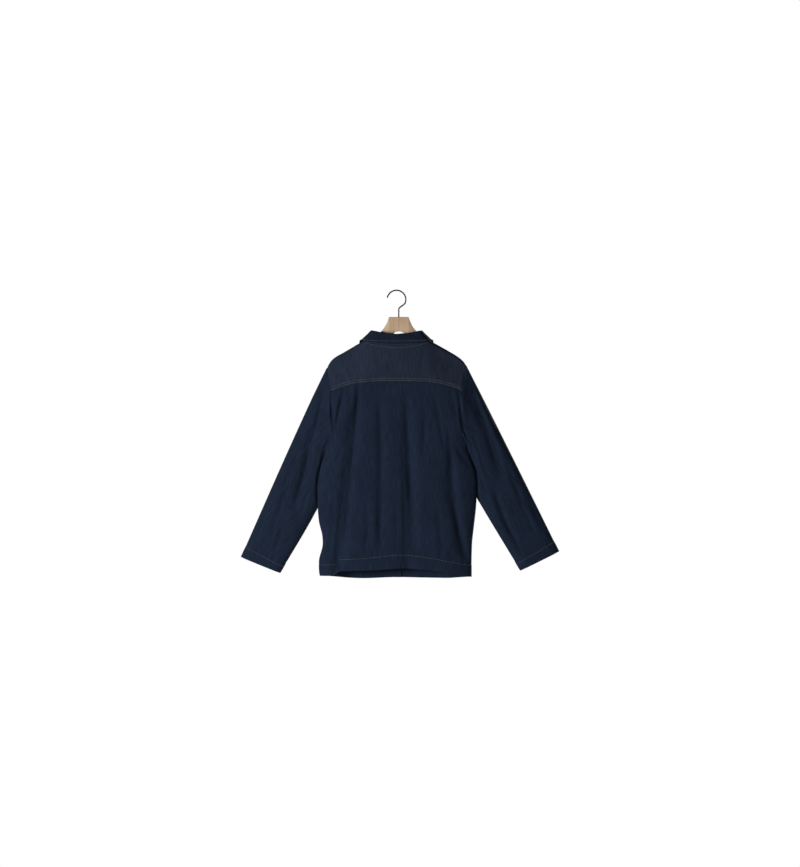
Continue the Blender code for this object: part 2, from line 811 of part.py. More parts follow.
def button(index, height):
    """A plain dished shank button on the lapping front."""
    front = body_point(0.0, height, -1).y - LAYER_SHIFT - SEAM_GAP
    shape = bmesh.new()
    verts = [
        shape.verts.new((BUTTON_RADIUS * out, front - BUTTON_THICK * up, height))
        for out, up in BUTTON_PROFILE
    ]
    edges = [shape.edges.new(pair) for pair in zip(verts, verts[1:])]
    bmesh.ops.spin(
        shape, geom=verts + edges, axis=(0, 1, 0), cent=(0, front, height),
        angle=2 * math.pi, steps=BUTTON_STEPS, use_merge=True,
    )
    bmesh.ops.remove_doubles(shape, verts=shape.verts, dist=WELD)
    bmesh.ops.recalc_face_normals(shape, faces=shape.faces)
    return finish(f"button_{index}", shape)


def wood_section(away, side):
    """Corners of the wood's rounded section at a distance from the stem."""
    x = HANGER_X + side * away
    top, low = between(WOOD_OUTLINE, away), between(WOOD_OUTLINE, away, 2)
    below = CLOTH + WOOD_CLEAR + ARM_END_DROP * ease((abs(x) - ARM_END_FROM) / ARM_END_RUN)
    if abs(x) >= NECK_HALF:
        top = min(top, ridge(x) - below)
    if away >= WOOD_SEATED_FROM:
        top = ridge(x) - below
    corners = (
        (0.0, top), (WOOD_HALF - WOOD_ROUND, top - WOOD_CROWN), (WOOD_HALF, top - 2 * WOOD_ROUND),
        (WOOD_HALF, low + WOOD_ROUND), (WOOD_HALF - WOOD_ROUND, low), (0.0, low),
    )
    around = [(y, z) for y, z in corners] + [(-y, z) for y, z in reversed(corners[1:-1])]
    return [Vector((x, y, z)) for y, z in around]


def hanger_wood():
    """Flat wooden arms under both shoulders with a flared neck between them."""
    shape = bmesh.new()
    stations = [row[0] for row in WOOD_OUTLINE if row[0] < WOOD_SEATED_FROM]
    last = WOOD_OUTLINE[-1][0]
    stations += [mix(WOOD_SEATED_FROM, last, step / ARM_STEPS) for step in range(ARM_STEPS + 1)]
    places = [(away, -1) for away in reversed(stations)] + [(away, 1) for away in stations[1:]]
    rings = [[shape.verts.new(point) for point in wood_section(*place)] for place in places]
    for before, after in zip(rings, rings[1:]):
        for index in range(len(before)):
            following = (index + 1) % len(before)
            shape.faces.new((before[index], before[following], after[following], after[index]))
    shape.faces.new(rings[0])
    shape.faces.new(reversed(rings[-1]))
    bmesh.ops.recalc_face_normals(shape, faces=shape.faces)
    return finish("hanger_wood", shape, SMOOTH_WOOD)


def hanger_hook():
    """Bent wire from the wood's neck, round over the rail to its open end."""
    centre_z = -HOOK_RADIUS
    bend = HOOK_RADIUS + WIRE
    path = []
    for step in range(HOOK_STEPS + 1):
        turn = mix(HOOK_TIP_TURN, HOOK_BACK_TURN, step / HOOK_STEPS)
        path.append((math.sin(turn) * bend, centre_z + math.cos(turn) * bend))
    last_x, last_z = path[-1]
    for step in range(1, STEM_STEPS):
        share = step / STEM_STEPS
        path.append((mix(last_x, HANGER_X, ease(share)), mix(last_z, HOOK_STEM_TOP, share)))
    path.append((HANGER_X, HOOK_STEM_TOP))
    path.append((HANGER_X, WOOD_TOP + SEAM_GAP))
    curve = bpy.data.curves.new("hanger_hook", "CURVE")
    curve.dimensions = "3D"
    curve.bevel_depth = WIRE
    curve.bevel_resolution = WIRE_RESOLUTION
    curve.use_fill_caps = True
    spline = curve.splines.new("POLY")
    spline.points.add(len(path) - 1)
    for point, (x, z) in zip(spline.points, path):
        point.co = (x, 0, z, 1)
    made = bpy.data.objects.new("hanger_hook", curve)
    bpy.context.scene.collection.objects.link(made)
    return made


def cloth_grids():
    """Grids of points of each piece of cloth, and how many of their rows are turned up."""
    yokes = {side: yoke_half(side) for side in (1, -1)}
    overs = {side: yoke_over(side) for side in (1, -1)}
    backs = {side: back_half(side) for side in (1, -1)}
    fronts = {side: front_half(side) for side in (1, -1)}
    stand, fall = collar_rows()
    pieces = {
        "back_yoke": ([list(reversed(mirrored(yokes.get))), list(reversed(overs[1])), overs[-1]], 0),
        "back_panel": ([mirrored(backs.get)], 2),
        "collar_stand": ([stand], 0),
        "collar_fall": ([fall], 0),
    }
    for side, hand in ((1, "left"), (-1, "right")):
        front = fronts[side] if side < 0 else [list(reversed(row)) for row in fronts[side]]
        pieces[f"front_{hand}"] = ([front], 2)
        loop, top = armhole_loop(backs[side], overs[side], yokes[side], fronts[side])
        pieces[f"sleeve_{hand}"] = ([sleeve_rows(side, loop, top)], 2)
    return pieces


def main():
    """Build every piece of the jacket and its hanger."""
    for old in list(bpy.data.objects):
        bpy.data.objects.remove(old)
    surfaces = {name: panel_mesh(*piece) for name, piece in cloth_grids().items()}
    normals = shared_normals(surfaces)
    denim, yoke_denim = material("denim", DENIM), material("yoke_denim", YOKE_DENIM)
    for name, surface in surfaces.items():
        piece = cloth_solid(name, surface, normals[name])
        piece.data.materials.append(yoke_denim if name == "back_yoke" else denim)
    metal = material("button_metal", BUTTON_METAL)
    for index, height in enumerate(BUTTON_HEIGHTS, start=1):
        button(index, height).data.materials.append(metal)
    hanger_wood().data.materials.append(material("beech", BEECH))
    hanger_hook().data.materials.append(material("steel_wire", STEEL))


if __name__ == "__main__":
    main()
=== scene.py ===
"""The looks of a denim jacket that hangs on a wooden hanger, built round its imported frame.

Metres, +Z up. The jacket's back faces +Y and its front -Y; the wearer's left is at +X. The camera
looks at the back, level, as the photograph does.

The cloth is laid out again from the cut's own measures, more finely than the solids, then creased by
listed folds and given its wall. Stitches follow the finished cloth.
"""
import logging
import math
from dataclasses import dataclass, field
from enum import Enum
from typing import Callable, ClassVar, Sequence

import bmesh
import bpy
import numpy as np
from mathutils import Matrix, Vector
from mathutils.bvhtree import BVHTree
from mathutils.kdtree import KDTree


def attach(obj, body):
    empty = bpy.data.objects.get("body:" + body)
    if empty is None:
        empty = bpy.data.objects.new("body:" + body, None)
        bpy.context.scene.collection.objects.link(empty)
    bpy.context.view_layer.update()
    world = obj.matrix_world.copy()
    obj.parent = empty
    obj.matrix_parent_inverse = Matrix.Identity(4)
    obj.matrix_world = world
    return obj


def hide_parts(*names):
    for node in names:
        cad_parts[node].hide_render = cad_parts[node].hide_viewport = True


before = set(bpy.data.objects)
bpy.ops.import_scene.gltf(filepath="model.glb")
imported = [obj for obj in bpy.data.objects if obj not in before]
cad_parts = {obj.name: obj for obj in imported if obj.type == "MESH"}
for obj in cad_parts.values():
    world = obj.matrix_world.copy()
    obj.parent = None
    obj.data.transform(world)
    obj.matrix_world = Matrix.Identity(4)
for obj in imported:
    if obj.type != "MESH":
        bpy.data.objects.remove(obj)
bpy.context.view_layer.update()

LOG = logging.getLogger("jacket")
BODY_NAME = "root"

Table = tuple[tuple[float, ...], ...]
Row = list[Vector]
Grid = list[Row]
Pair = tuple[float, float]
Socket = bpy.types.NodeSocket

# The photograph's frame, and how its pixels lie on the plane of the hanger
PHOTO_WIDTH = 800
PHOTO_HEIGHT = 867
METRES_PER_PIXEL = 0.0029
HOOK_PIXEL_X = 396.5
HOOK_PIXEL_Y = 291.0

# What several pieces share, in metres where it is a size
SIDES = (1, -1)  # the wearer's left and right
DEEP = Vector((0, 1, 0))
CORNERS = ((0, 0), (0, 1), (1, 1), (1, 0))  # of one face of a grid: rows on, columns on
FOLD_ROW = 3  # of the collar's fall, counted from the seam
STEM = -0.0067  # where the hanger's neck stands across
CLOTH = 0.0012
HEM_TURN = 0.0335
HEM_ARCH = 0.0062
HEM_ARCH_HALF = 0.105
WELD = 0.00002
TINY = 1e-6


def at_pixel(across: float, down: float) -> Pair:
    """Turn a place in the photograph into a place on the hanger's plane."""
    return (HOOK_PIXEL_X - across) * METRES_PER_PIXEL, (HOOK_PIXEL_Y - down) * METRES_PER_PIXEL


# The form of the hanging jacket


def slope(table: Table, row: int, column: int) -> float:
    """Slope of a smooth curve at one of its rows.

    Args:
        table: Rows whose first column rises.
        row: Which row.
        column: Which column.

    Returns:
        Rise for each unit of the first column.
    """
    steps = []
    for low, high in ((row - 1, row), (row, row + 1)):
        if low >= 0 and high < len(table):
            run = table[high][0] - table[low][0]
            steps.append((table[high][column] - table[low][column]) / run)
    if len(steps) == 1:
        return steps[0]
    before, after = steps
    if before * after <= 0:
        return 0.0
    return 2 * before * after / (before + after)


def between(table: Table, at: float, column: int = 1) -> float:
    """Read a column between the rows, on a smooth curve through them.

    Args:
        table: Rows whose first column rises.
        at: Place in the first column.
        column: Which column.

    Returns:
        The column's value there.
    """
    if at <= table[0][0]:
        return table[0][column]
    if at >= table[-1][0]:
        return table[-1][column]
    row = 0
    while table[row + 1][0] < at:
        row += 1
    low, high = table[row], table[row + 1]
    run = high[0] - low[0]
    share = (at - low[0]) / run
    rise = high[column] - low[column]
    start = slope(table, row, column) * run
    end = slope(table, row + 1, column) * run
    bend = start * (1 - share) - end * share + rise * (2 * share - 1)
    return low[column] + rise * share + share * (1 - share) * bend


def columns(table: Table, at: float) -> tuple[float, ...]:
    """Read every column after the first between a table's rows."""
    return tuple(between(table, at, column) for column in range(1, len(table[0])))


def ease(share: float) -> float:
    """Smooth step from 0 to 1."""
    share = min(max(share, 0.0), 1.0)
    return share * share * (3 - 2 * share)


def hem_arch(across: np.ndarray | float) -> np.ndarray | float:
    """How much higher the hem is turned up near the middle of the body than at its sides."""
    return HEM_ARCH * np.exp(-(across / HEM_ARCH_HALF) ** 2)


def mix(low: float, high: float, share: float) -> float:
    """Value between two others."""
    return low + (high - low) * share


@dataclass(frozen=True)
class Body:
    """The hanging body of the jacket: its measures, its largest folds and the grids of its panels."""

    hem_step: float = 0.0015
    neck_half: float = 0.088
    neck_back_drop: float = 0.026
    neck_front_drop: float = 0.082
    shoulder_seam_drop: float = 0.016
    roll: float = 0.011
    blade_drop: float = 0.12
    shoulder_ridge: Table = (
        # across, height on the left, height on the right
        (0.0, -0.13, -0.13), (0.06, -0.1315, -0.1315), (0.088, -0.14, -0.139), (0.105, -0.1497, -0.1483),
        (0.15, -0.1763, -0.1735), (0.185, -0.1975, -0.1955), (0.205, -0.2265, -0.2165),
    )
    ridge_half: Table = (
        # across, half the thickness of the rolled shoulder
        (0.0, 0.034), (0.05, 0.033), (0.088, 0.027), (0.12, 0.018), (0.16, 0.0135), (0.22, 0.012),
    )
    side_edge: Table = (
        # height, left half width, right half width
        (-0.83, 0.2215, 0.2187), (-0.8178, 0.2248, 0.2187), (-0.785, 0.2265, 0.219),
        (-0.7323, 0.2152, 0.2205), (-0.7134, 0.2161, 0.2222), (-0.667, 0.2265, 0.2278),
        (-0.6293, 0.2297, 0.2318), (-0.5655, 0.2314, 0.235), (-0.5336, 0.2277, 0.2335),
        (-0.4901, 0.219, 0.2205), (-0.4524, 0.2045, 0.2065), (-0.403, 0.1895, 0.19),
        (-0.345, 0.1885, 0.185), (-0.276, 0.1928, 0.1929), (-0.22, 0.2015, 0.2015),
    )
    underarm: ClassVar[dict] = {1: -0.4756, -1: -0.4580}
    armhole_open: float = 0.85
    armhole_round: float = 0.10
    closing_power: int = 4
    body_depth: Table = (
        # height, half depth of the back, half depth of the front
        (-0.85, 0.028, 0.027), (-0.65, 0.033, 0.031), (-0.5, 0.036, 0.033), (-0.35, 0.036, 0.033),
        (-0.25, 0.033, 0.031), (-0.1, 0.031, 0.03),
    )
    yoke_centre: float = -0.262
    yoke_fall: float = 0.028
    yoke_fall_at: float = 0.19
    yoke_curve: float = 3.2
    back_hem: Table = (
        # across, height of the arched hem
        (-0.224, -0.8285), (-0.16, -0.818), (-0.09, -0.807), (-0.013, -0.8025), (0.074, -0.808),
        (0.165, -0.811), (0.18, -0.824), (0.224, -0.8255),
    )
    front_hem: Table = (
        # across, height
        (-0.224, -0.8285), (-0.138, -0.834), (0.0, -0.832), (0.094, -0.835), (0.224, -0.8255),
    )
    lap: float = 0.0135
    lap_fade: float = 0.040
    layer_shift: float = 0.0016
    back_folds: Table = (
        # top across, top height, middle across, middle height, low across, low height, width, depth
        (0.1117, -0.295, 0.138, -0.52, 0.1755, -0.85, 0.016, 0.012),
        (-0.0131, -0.32, -0.035, -0.53, -0.0334, -0.85, 0.02, 0.009),
        (0.0479, -0.33, 0.0479, -0.53, 0.04, -0.74, 0.018, 0.005),
        (-0.1465, -0.47, -0.1639, -0.629, -0.2016, -0.8, 0.017, 0.008),
        (0.1436, -0.295, 0.16, -0.35, 0.185, -0.41, 0.012, 0.006),
        (-0.158, -0.285, -0.168, -0.33, -0.18, -0.39, 0.012, 0.006),
        (0.23, -0.34, 0.256, -0.47, 0.301, -0.65, 0.014, 0.007),
        (-0.2276, -0.3, -0.27, -0.43, -0.31, -0.56, 0.013, 0.006),
        (-0.28, -0.56, -0.31, -0.66, -0.35, -0.74, 0.012, 0.005),
    )
    front_folds: Table = (
        (0.105, -0.3, 0.125, -0.55, 0.148, -0.86, 0.018, 0.009),
        (-0.11, -0.32, -0.118, -0.56, -0.155, -0.86, 0.018, 0.009),
        (0.06, -0.42, 0.064, -0.6, 0.062, -0.8, 0.018, 0.004),
        (-0.056, -0.46, -0.06, -0.64, -0.07, -0.86, 0.017, 0.005),
        (0.235, -0.36, 0.265, -0.5, 0.31, -0.66, 0.014, 0.006),
        (-0.24, -0.36, -0.275, -0.5, -0.325, -0.67, 0.014, 0.006),
    )
    fold_fade: float = 0.07
    fold_room: float = 0.012
    neck_steps: int = 18
    front_neck_steps: int = 12
    shoulder_steps: int = 20
    yoke_rows: int = 13
    over_rows: int = 4
    armhole_rows: int = 26
    front_top_rows: int = 5
    side_rows: int = 52
    hem_rows: int = 7
    settle_tries: int = 8
    column_spread: float = math.radians(60)
    front_settle: float = 0.3
    armhole_spread: float = 1.5
    side_spread: float = 1.15

    def ridge(self, x: float) -> float:
        """Height of the shoulder line."""
        return between(self.shoulder_ridge, abs(x), 1 if x >= 0 else 2)

    def edge(self, z: float, side: int) -> float:
        """Half width of the body at a height."""
        return between(self.side_edge, z, 1 if side > 0 else 2)

    def openness(self, z: float, side: int) -> float:
        """How open the body is at its edge: 0 at a closed side, more in an armhole."""
        share = min(max((z - self.underarm[side]) / self.armhole_round, 0.0), 1.0)
        return self.armhole_open * math.sqrt(1 - (1 - share) ** 2)

    def trough(self, folds: Table, x: float, z: float) -> float:
        """Depth of the largest folds at a point.

        Args:
            folds: Rows of the troughs.
            x: Place across, in metres.
            z: Height, in metres.

        Returns:
            The depth.
        """
        depth = 0.0
        for top_x, top, middle_x, middle, low_x, low, width, deep in folds:
            if low < z < top:
                line = ((low, low_x), (middle, middle_x), (top, top_x))
                away = (x - between(line, z)) / width
                fade = ease((top - z) / self.fold_fade) * ease((z - low) / self.fold_fade)
                depth += deep * fade * math.exp(-away * away)
        return depth

    def folded(self, x: float, z: float, reach: float, face: int) -> float:
        """Half depth of the cloth with its folds pressed in."""
        folds = self.back_folds if face > 0 else self.front_folds
        return reach - self.trough(folds, x, z) * min(1.0, max(reach, 0.0) / self.fold_room)

    def point(self, x: float, z: float, face: int) -> Vector:
        """Point on the outside of the body.

        Args:
            x: Place across, in metres.
            z: Height, in metres.
            face: 1 behind, -1 before.

        Returns:
            The point.
        """
        drop = max(self.ridge(x) - z, 0.0)
        rolled = between(self.ridge_half, abs(x))
        if drop < self.roll:
            reach = rolled * math.sqrt(max(0.0, 1 - (1 - drop / self.roll) ** 2))
        else:
            full = between(self.body_depth, z, 1 if face > 0 else 2)
            reach = mix(rolled, full, ease((drop - self.roll) / self.blade_drop))
        side = 1 if x >= 0 else -1
        across = min(abs(x) / self.edge(z, side), 1.0)
        closing = 1 - (1 - self.openness(z, side) ** 2) * across ** self.closing_power
        reach *= math.sqrt(max(0.0, closing))
        return Vector((x, face * self.folded(x, z, reach, face), z))

    def yoke_seam(self, x: float) -> float:
        """Height of the curved seam between yoke and back panel."""
        return self.yoke_centre - self.yoke_fall * (abs(x) / self.yoke_fall_at) ** self.yoke_curve

    def armhole_at_drop(self, drop: float, side: int) -> float:
        """Where the armhole seam lies at a drop below the shoulder line.

        Args:
            drop: Distance below the shoulder line.
            side: 1 on the wearer's left, -1 on the right.

        Returns:
            Its place across.
        """
        across = self.edge(self.underarm[side], side)
        for _ in range(self.settle_tries):
            across = self.edge(self.ridge(side * across) - drop, side)
        return side * across

    def armhole_at_yoke(self, share: float, side: int) -> float:
        """Where the armhole seam lies between shoulder line and yoke seam.

        Args:
            share: How far along, 0 to 1.
            side: 1 on the wearer's left, -1 on the right.

        Returns:
            Its place across.
        """
        x = self.armhole_at_drop(0.0, side)
        for _ in range(self.settle_tries):
            drop = (self.ridge(x) - self.yoke_seam(x)) * share
            x = self.armhole_at_drop(drop, side)
        return x

    def neck_back(self, angle: float, side: int) -> tuple[float, float]:
        """Neck seam behind the shoulder line."""
        return side * self.neck_half * math.sin(angle), self.neck_back_drop * math.cos(angle)

    def neck_front(self, drop: float, side: int) -> float:
        """Neck seam before the shoulder line."""
        return side * self.neck_half * math.sqrt(max(0.0, 1 - (drop / self.neck_front_drop) ** 2))

    def columns_at_edge(self, count: int) -> list[float]:
        """Shares of the half width, closer together near the side."""
        reach = self.column_spread
        return [math.sin(reach * step / count) / math.sin(reach) for step in range(count + 1)]

    def over_drops(self) -> list[float]:
        """Drops of the yoke's rows before the shoulder line."""
        return [self.shoulder_seam_drop * (row / self.over_rows) ** 2 for row in range(self.over_rows + 1)]

    def front_drops(self) -> list[float]:
        """Drops of the fronts' neck seam below the shoulder line, from the centre out.

        Returns:
            The drops.
        """
        steps, first = self.front_neck_steps, math.asin(self.shoulder_seam_drop / self.neck_front_drop)
        turns = [mix(math.pi / 2, first, step / steps) for step in range(steps + 1)]
        return [self.neck_front_drop * math.sin(turn) for turn in turns]

    def mirrored(self, half: Callable[[int], Grid]) -> Grid:
        """Join both halves' rows, right to left."""
        left, right = half(1), half(-1)
        return [right_row[:0:-1] + left_row for left_row, right_row in zip(left, right)]

    def yoke_half(self, side: int) -> Grid:
        """Half a yoke behind the shoulder line, from the seam up and the centre out.

        Args:
            side: 1 on the wearer's left, -1 on the right.

        Returns:
            Its rows.
        """
        columns = self.neck_steps + self.shoulder_steps
        shares = self.columns_at_edge(columns)
        rows = []
        for row in range(self.yoke_rows, -1, -1):
            down = (row / self.yoke_rows) ** 2
            armhole = self.armhole_at_yoke(down, side)
            points = []
            for column in range(columns + 1):
                low_x = armhole * shares[column]
                top_x, neck_drop = self.neck_back(math.pi / 2 * column / self.neck_steps, side)
                if column > self.neck_steps:
                    outward = (column - self.neck_steps) / self.shoulder_steps
                    top_x, neck_drop = mix(side * self.neck_half, armhole, outward), 0.0
                x = mix(top_x, low_x, down)
                top = self.ridge(x) - neck_drop * (1 - down)
                points.append(self.point(x, mix(top, self.yoke_seam(x), down), 1))
            rows.append(points)
        return rows

    def yoke_over(self, side: int) -> Grid:
        """The yoke before the shoulder line, from the line down to the front seam.

        Args:
            side: 1 on the wearer's left, -1 on the right.

        Returns:
            Its rows.
        """
        rows = []
        for drop in self.over_drops():
            neck, armhole = self.neck_front(drop, side), self.armhole_at_drop(drop, side)
            points = []
            for column in range(self.shoulder_steps + 1):
                x = mix(neck, armhole, column / self.shoulder_steps)
                points.append(self.point(x, self.ridge(x) - drop, -1))
            rows.append(points)
        return rows

    def side_heights(self, side: int, hem: float) -> list[float]:
        """Heights of the rows along armhole and side seam, from the yoke seam down.

        Args:
            side: 1 on the wearer's left, -1 on the right.
            hem: Height of the hem at the side.

        Returns:
            The heights.
        """
        under = self.underarm[side]
        start = self.yoke_seam(self.armhole_at_yoke(1.0, side))
        turn = hem + HEM_TURN
        armhole = [(1 - row / self.armhole_rows) ** self.armhole_spread for row in range(self.armhole_rows)]
        seam = [(row / self.side_rows) ** self.side_spread for row in range(self.side_rows + 1)]
        heights = [mix(under, start, share) for share in armhole]
        heights += [mix(under, turn + self.hem_step, share) for share in seam]
        return heights + [mix(turn, hem, row / self.hem_rows) for row in range(self.hem_rows + 1)]

    def shares_down(self, side: int, hem: float) -> tuple[list[float], list[float]]:
        """How far down the side each row ends, from the yoke seam to the hem."""
        heights = self.side_heights(side, hem)
        return heights, [(heights[0] - height) / (heights[0] - heights[-1]) for height in heights]

    def back_half(self, side: int) -> Grid:
        """Half the back panel, from the yoke seam down and the centre out.

        Args:
            side: 1 on the wearer's left, -1 on the right.

        Returns:
            Its rows.
        """
        shares = self.columns_at_edge(self.neck_steps + self.shoulder_steps)
        heights, downs = self.shares_down(side, between(self.back_hem, side * self.back_hem[-1][0]))
        _, others = self.shares_down(-side, between(self.back_hem, -side * self.back_hem[-1][0]))
        armhole = self.armhole_at_yoke(1.0, side)
        rows = []
        for height, own, other in zip(heights, downs, others):
            points = []
            for share in shares:
                x = side * self.edge(height, side) * share
                if height == heights[0]:
                    x = armhole * share
                down = mix((own + other) / 2, own, share)
                points.append(self.point(x, mix(self.yoke_seam(x), between(self.back_hem, x), down), 1))
            points[-1] = self.point(side * self.edge(height, side), height, 1)
            if height == heights[0]:
                points[-1] = self.point(armhole, self.yoke_seam(armhole), 1)
            rows.append(points)
        return rows

    def front_half(self, side: int) -> Grid:
        """A front, from shoulder and neck down, from its lapped edge out to the side.

        Args:
            side: 1 on the wearer's left, -1 on the right.

        Returns:
            Its rows.
        """
        shares = self.columns_at_edge(self.front_neck_steps + self.shoulder_steps)
        low = self.side_heights(side, between(self.front_hem, side * self.front_hem[-1][0]))
        corner = self.armhole_at_drop(self.shoulder_seam_drop, side)
        top = self.ridge(corner) - self.shoulder_seam_drop
        heights = [mix(top, low[0], row / self.front_top_rows) for row in range(self.front_top_rows)] + low
        yoke_level = self.armhole_at_yoke(1.0, side)
        lap_drop = self.neck_front_drop * math.sqrt(1 - (self.lap / self.neck_half) ** 2)
        neck = self.neck_front(self.shoulder_seam_drop, side)
        tops = [(-side * self.lap, lap_drop)]
        tops += [(self.neck_front(drop, side), drop) for drop in self.front_drops()]
        for column in range(1, self.shoulder_steps + 1):
            tops.append((mix(neck, corner, column / self.shoulder_steps), self.shoulder_seam_drop))
        rows = []
        for height in heights:
            down = (heights[0] - height) / (heights[0] - heights[-1])
            settled = ease(down / self.front_settle)
            width = abs(corner) if height == heights[0] else self.edge(height, side)
            points = []
            for column, (top_x, drop) in enumerate(tops):
                share = -self.lap / width if column == 0 else shares[column - 1]
                top_share = side * top_x / abs(corner)
                x = side * width * mix(top_share, share, settled)
                if column == 0:
                    x = -side * self.lap
                top_z = self.ridge(top_x) - drop
                hem = between(self.front_hem, side * width * share)
                z = height if column == len(tops) - 1 else mix(top_z, hem, down)
                if column == len(tops) - 1 and height == low[0]:
                    x = yoke_level
                point = self.point(x, z, -1)
                beyond = (abs(x) - self.lap) / (self.lap_fade - self.lap)
                point.y += side * self.layer_shift * (1 - ease(beyond))
                points.append(point)
            rows.append(points)
        return rows

    def armhole_loop(self, side: int, back: Grid, over: Grid, yoke: Grid, front: Grid) -> tuple[Row, int]:
        """Armhole seam from the underarm up the back and down the front.

        Args:
            side: 1 on the wearer's left, -1 on the right; not used.
            back: Rows of the back panel's half.
            over: Rows of the yoke before the shoulder line.
            yoke: Rows of the yoke behind it, from the top.
            front: Rows of the front.

        Returns:
            Its points and the index of its top.
        """
        behind = [row[-1] for row in back[: self.armhole_rows + 1]]
        up = behind[::-1] + [row[-1] for row in yoke[1:]]
        rows_down = self.front_top_rows + self.armhole_rows
        down = [row[-1] for row in over[1:]] + [row[-1] for row in front[1:rows_down]]
        return up + down, len(up) - 1


@dataclass(frozen=True)
class Sleeve:
    """The form of both sleeves, set into the body's armholes."""

    body: Body
    crotch_apart: float = 0.0008
    sleeve_outer: ClassVar[dict] = {
        # share, across, height
        1: ((0.00, 0.2015, -0.2200), (0.19, 0.2509, -0.3219), (1.00, 0.4524, -0.7720)),
        -1: ((0.00, 0.2015, -0.2130), (0.24, 0.2712, -0.3495), (1.00, 0.4730, -0.7557)),
    }
    sleeve_inner: ClassVar[dict] = {
        1: ((0.0, 0.2117, -0.4756), (0.4, 0.2275, -0.6258), (0.46, 0.2362, -0.6440),
            (1.0, 0.3384, -0.8187)),
        -1: ((0.0, 0.2075, -0.4580), (0.4, 0.2330, -0.5998), (0.46, 0.2433, -0.6180),
             (1.0, 0.3600, -0.8117)),
    }
    sleeve_depth: Table = (
        # share, half depth, how far the middle lies from the shoulder line
        (0.0, 0.028, 0.0), (0.1, 0.029, -0.009), (0.35, 0.0265, -0.0135), (0.6, 0.0225, -0.012),
        (1.0, 0.0165, -0.018),
    )
    sleeve_settle: float = 0.22
    sleeve_clear: float = -0.0030
    sleeve_clear_by: float = 0.05
    sleeve_rows: int = 88
    ring_power: float = 1.1
    hem_rows: int = 7
    girth: float = 0.30

    def shares(self, side: int) -> list[float]:
        """Shares of the sleeve's length at which its rings lie.

        Args:
            side: 1 on the wearer's left, -1 on the right.

        Returns:
            The shares, the last two at the top and the edge of the hem.
        """
        outer = self.sleeve_outer[side]
        length = math.dist(outer[0][1:], outer[1][1:]) + math.dist(outer[1][1:], outer[2][1:])
        turn, step = HEM_TURN / length, self.body.hem_step / length
        shares = [(row / self.sleeve_rows) ** self.ring_power * (1 - turn - step)
                  for row in range(self.sleeve_rows + 1)]
        return shares + [1 - turn + turn * row / self.hem_rows for row in range(self.hem_rows + 1)]

    def middles(self, side: int) -> list[float]:
        """Depth of the sleeve's middle at each ring."""
        return [between(self.sleeve_depth, share, 2) for share in self.shares(side)]

    def grain(self, side: int) -> tuple[float, ...]:
        """Centre and turn of the sleeve's grain.

        Args:
            side: 1 on the wearer's left, -1 on the right.

        Returns:
            Centre across, centre height, turn, and the direction of the rings.
        """
        top, low = self.sleeve_outer[side][1], self.sleeve_outer[side][2]
        turn = math.atan2(low[1] - top[1], top[2] - low[2])
        return side * top[1], top[2], side * turn, self.girth

    def fullness(self, turned: float) -> float:
        """Share of the half depth that a ring has at a turn: a little fuller than a circle."""
        return abs(math.sin(turned)) * math.sqrt(1 + math.cos(turned) ** 2)

    def rings(self, side: int, loop: Row, top: int) -> Grid:
        """Rings of a sleeve from the armhole to the cuff.

        Args:
            side: 1 on the wearer's left, -1 on the right.
            loop: Points of the armhole seam.
            top: Index of the loop's highest point.

        Returns:
            Rows as long as the armhole's loop, closed.
        """
        outer, inner = self.sleeve_outer[side], self.sleeve_inner[side]
        loop = [loop[0] + Vector((side * self.crotch_apart, 0, 0))] + loop[1:]
        shares = self.shares(side)
        first_out, first_in = loop[top], loop[0]
        half = (first_out - first_in) / 2
        middle = (first_out + first_in) / 2
        starts, settled = [], []
        for index, point in enumerate(loop):
            along = (point - middle).dot(half) / half.length_squared
            turned = math.acos(min(max(along, -1.0), 1.0))
            behind = index <= top
            starts.append(turned if behind else -turned)
            settled.append(math.pi * (1 - index / top if behind else (top - index) / (len(loop) - top)))
        rings = []
        for share in shares:
            (out_x, out_z), (in_x, in_z) = columns(outer, share), columns(inner, share)
            clear = self.sleeve_clear * ease(share / self.sleeve_clear_by)
            in_x = max(in_x, self.body.edge(in_z, side) + clear)
            out_at, in_at = Vector((side * out_x, 0, out_z)), Vector((side * in_x, 0, in_z))
            if share == 0:
                out_at, in_at = first_out, first_in
            depth, shift = columns(self.sleeve_depth, share)
            free = ease(share / self.sleeve_settle)
            ring = []
            for index, point in enumerate(loop):
                turned = mix(starts[index], settled[index], free)
                face = 1 if turned >= 0 else -1
                centre, reach = (out_at + in_at) / 2, (out_at - in_at) / 2
                place = centre + reach * math.cos(turned)
                bulge = depth * self.fullness(turned)
                place.y = face * self.body.folded(place.x, place.z, bulge, face) + shift
                base = middle + half * math.cos(starts[index])
                bulge = self.sleeve_depth[0][1] * self.fullness(starts[index])
                base.y = face * self.body.folded(base.x, base.z, bulge, face)
                ring.append(place + (point - base) * (1 - free))
            rings.append(ring)
        if side < 0:
            rings = [ring[::-1] for ring in rings]
        return [ring + ring[:1] for ring in rings]


